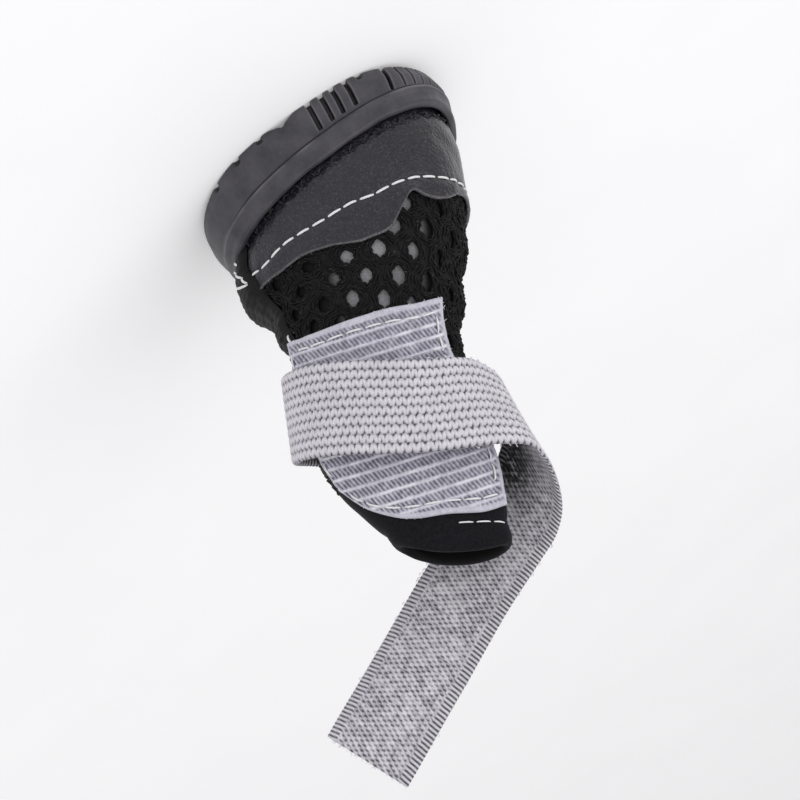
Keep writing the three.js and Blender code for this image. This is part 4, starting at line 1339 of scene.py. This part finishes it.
def strap_fray():
    b = Bundle()
    g = np.random.default_rng(8)
    for k in range(44):
        v = g.uniform(0.01, 0.99)
        t0 = STRAP_LENGTH - g.uniform(0.1, 0.5) if k < 36 else 0.3
        ln = g.uniform(0.3, 0.9)
        t = np.linspace(0, 1, 6)
        e = strap_edge(np.array(t0))
        n = strap_normal(np.array(t0))
        along = strap_edge(np.array(t0))[:3] - strap_edge(np.array(t0 - 1.0 if t0 > 1 else t0 + 1.0))[:3]
        along /= np.linalg.norm(along)
        p0 = e[:3] + (e[3:] - e[:3]) * v + n * g.uniform(-0.35, 0.35)
        acr = (e[3:] - e[:3]) / np.linalg.norm(e[3:] - e[:3])
        bend = acr * g.uniform(-0.7, 0.7) + n * g.uniform(-0.5, 0.5)
        b.tube(p0 + along * (ln * t)[:, None] + bend * (ln * t ** 2)[:, None], 0.11 * (1 - 0.55 * t), 4, 1, None, g.uniform())
    for k in range(56):
        tt = g.uniform(4, STRAP_LENGTH - 2)
        v = 0.0 if g.uniform() < 0.5 else 1.0
        e = strap_edge(np.array(tt))
        n = strap_normal(np.array(tt))
        acr = (e[3:] - e[:3]) / np.linalg.norm(e[3:] - e[:3]) * (1 if v else -1)
        t = np.linspace(0, 1, 5)
        ln = g.uniform(0.25, 0.7)
        p0 = e[:3] + (e[3:] - e[:3]) * v
        ax = strap_edge(np.array(tt + 0.5))[:3] - e[:3]
        ax /= np.linalg.norm(ax) + 1e-9
        b.tube(p0 + acr * (ln * np.sin(np.pi * t * 0.8))[:, None] + ax * (0.7 * t)[:, None] + n * (g.uniform(-0.3, 0.3) * t)[:, None],
               0.09, 4, 1, None, g.uniform())
    return b.build('strap_fray', FILAMENT)


piece(strap_fray(), 'knit_strap')


def strap_stitches():
    """two rows across the sewn end, on the strap's outer face"""
    b = Bundle()
    for t0 in (1.8, 6.0):
        t = np.full(80, t0)
        n = -strap_normal(t)
        p = strap_at(t, np.linspace(0.08, 0.92, 80)) + n * 0.62
        ln = np.concatenate([[0], np.cumsum(np.linalg.norm(np.diff(p, axis=0), axis=1))])

        def at(l, p=p, n=n, ln=ln):
            return (np.stack([np.interp(l, ln, p[:, k]) for k in range(3)], -1),
                    np.stack([np.interp(l, ln, n[:, k]) for k in range(3)], -1))
        stitch_row(b, at, ln[-1], 3.0, 2.4, 0.22, 0.16, 0.1)
    return b.build('strap_stitches', WHITE)


piece(strap_stitches(), 'knit_strap')

# ------------------------------------------------------------------ floor, light, camera
def floor():
    m = Mat('floor', 0.8, 0.2)
    m.color(m.ramp(m.noise(60, 3), [(0.3, lin(243, 242, 244)), (0.7, lin(246, 245, 247))]))
    m.bump(m.noise(1.0, 2), 0.02, 0.2)
    m.b.inputs['Emission Color'].default_value = (1.0, 1.0, 0.99, 1)
    m.b.inputs['Emission Strength'].default_value = 0.20
    k = 21
    x = np.linspace(-4000, 4000, k)
    X, Y = np.meshgrid(x, x, indexing='ij')
    ob = make('floor', np.stack([X, Y, X * 0], -1), quads(k, k), m.m, outward=False)
    return ob


floor()
world = bpy.data.worlds.new('studio')
world.use_nodes = True
world.node_tree.nodes['Background'].inputs[0].default_value = (0.985, 0.985, 0.99, 1)
world.node_tree.nodes['Background'].inputs[1].default_value = 0.67
bpy.context.scene.world = world
bpy.context.scene.view_settings.view_transform = 'Standard'


def area(name, direction, distance, size, power, target=(0, 0, 0.04)):
    d = Vector(direction).normalized()
    light = bpy.data.lights.new(name, 'AREA')
    light.shape = 'SQUARE'
    light.size = size
    light.energy = power
    ob = bpy.data.objects.new(name, light)
    ob.location = Vector(target) + d * distance
    ob.rotation_euler = d.to_track_quat('Z', 'Y').to_euler()
    bpy.context.scene.collection.objects.link(ob)


area('key', (0.50, 0.42, 0.66), 0.9, 0.85, 2.3)
area('fill', (-0.35, 0.80, 0.55), 1.0, 0.8, 0.9)

AZ, EL, ROLL, P0, DIST, LENS = -7.0, 22.0, 143.5, (317.3, 162.6), 480.0, 100.0
az, el, ro = map(math.radians, (AZ, EL, ROLL))
c = Vector((math.sin(az) * math.cos(el), math.cos(az) * math.cos(el), math.sin(el)))
right = Vector((-math.cos(az), math.sin(az), 0))
up = Vector((-math.sin(az) * math.sin(el), -math.cos(az) * math.sin(el), math.cos(el)))
R = right * math.cos(ro) + up * math.sin(ro)
U = -right * math.sin(ro) + up * math.cos(ro)
k = LENS / 36 * 800
T = R * ((400 - P0[0]) * DIST / k) + U * ((P0[1] - 400) * DIST / k)
cam = bpy.data.objects.new('camera', bpy.data.cameras.new('camera'))
cam.data.lens = LENS
cam.data.sensor_width = 36
cam.data.clip_start = 0.01
cam.data.clip_end = 20
pos = (T + c * DIST) * MM
rot = Matrix((R, U, c)).transposed().to_4x4()
cam.matrix_world = Matrix.Translation(pos) @ rot
bpy.context.scene.collection.objects.link(cam)
bpy.context.scene.camera = cam

bpy.context.view_layer.update()
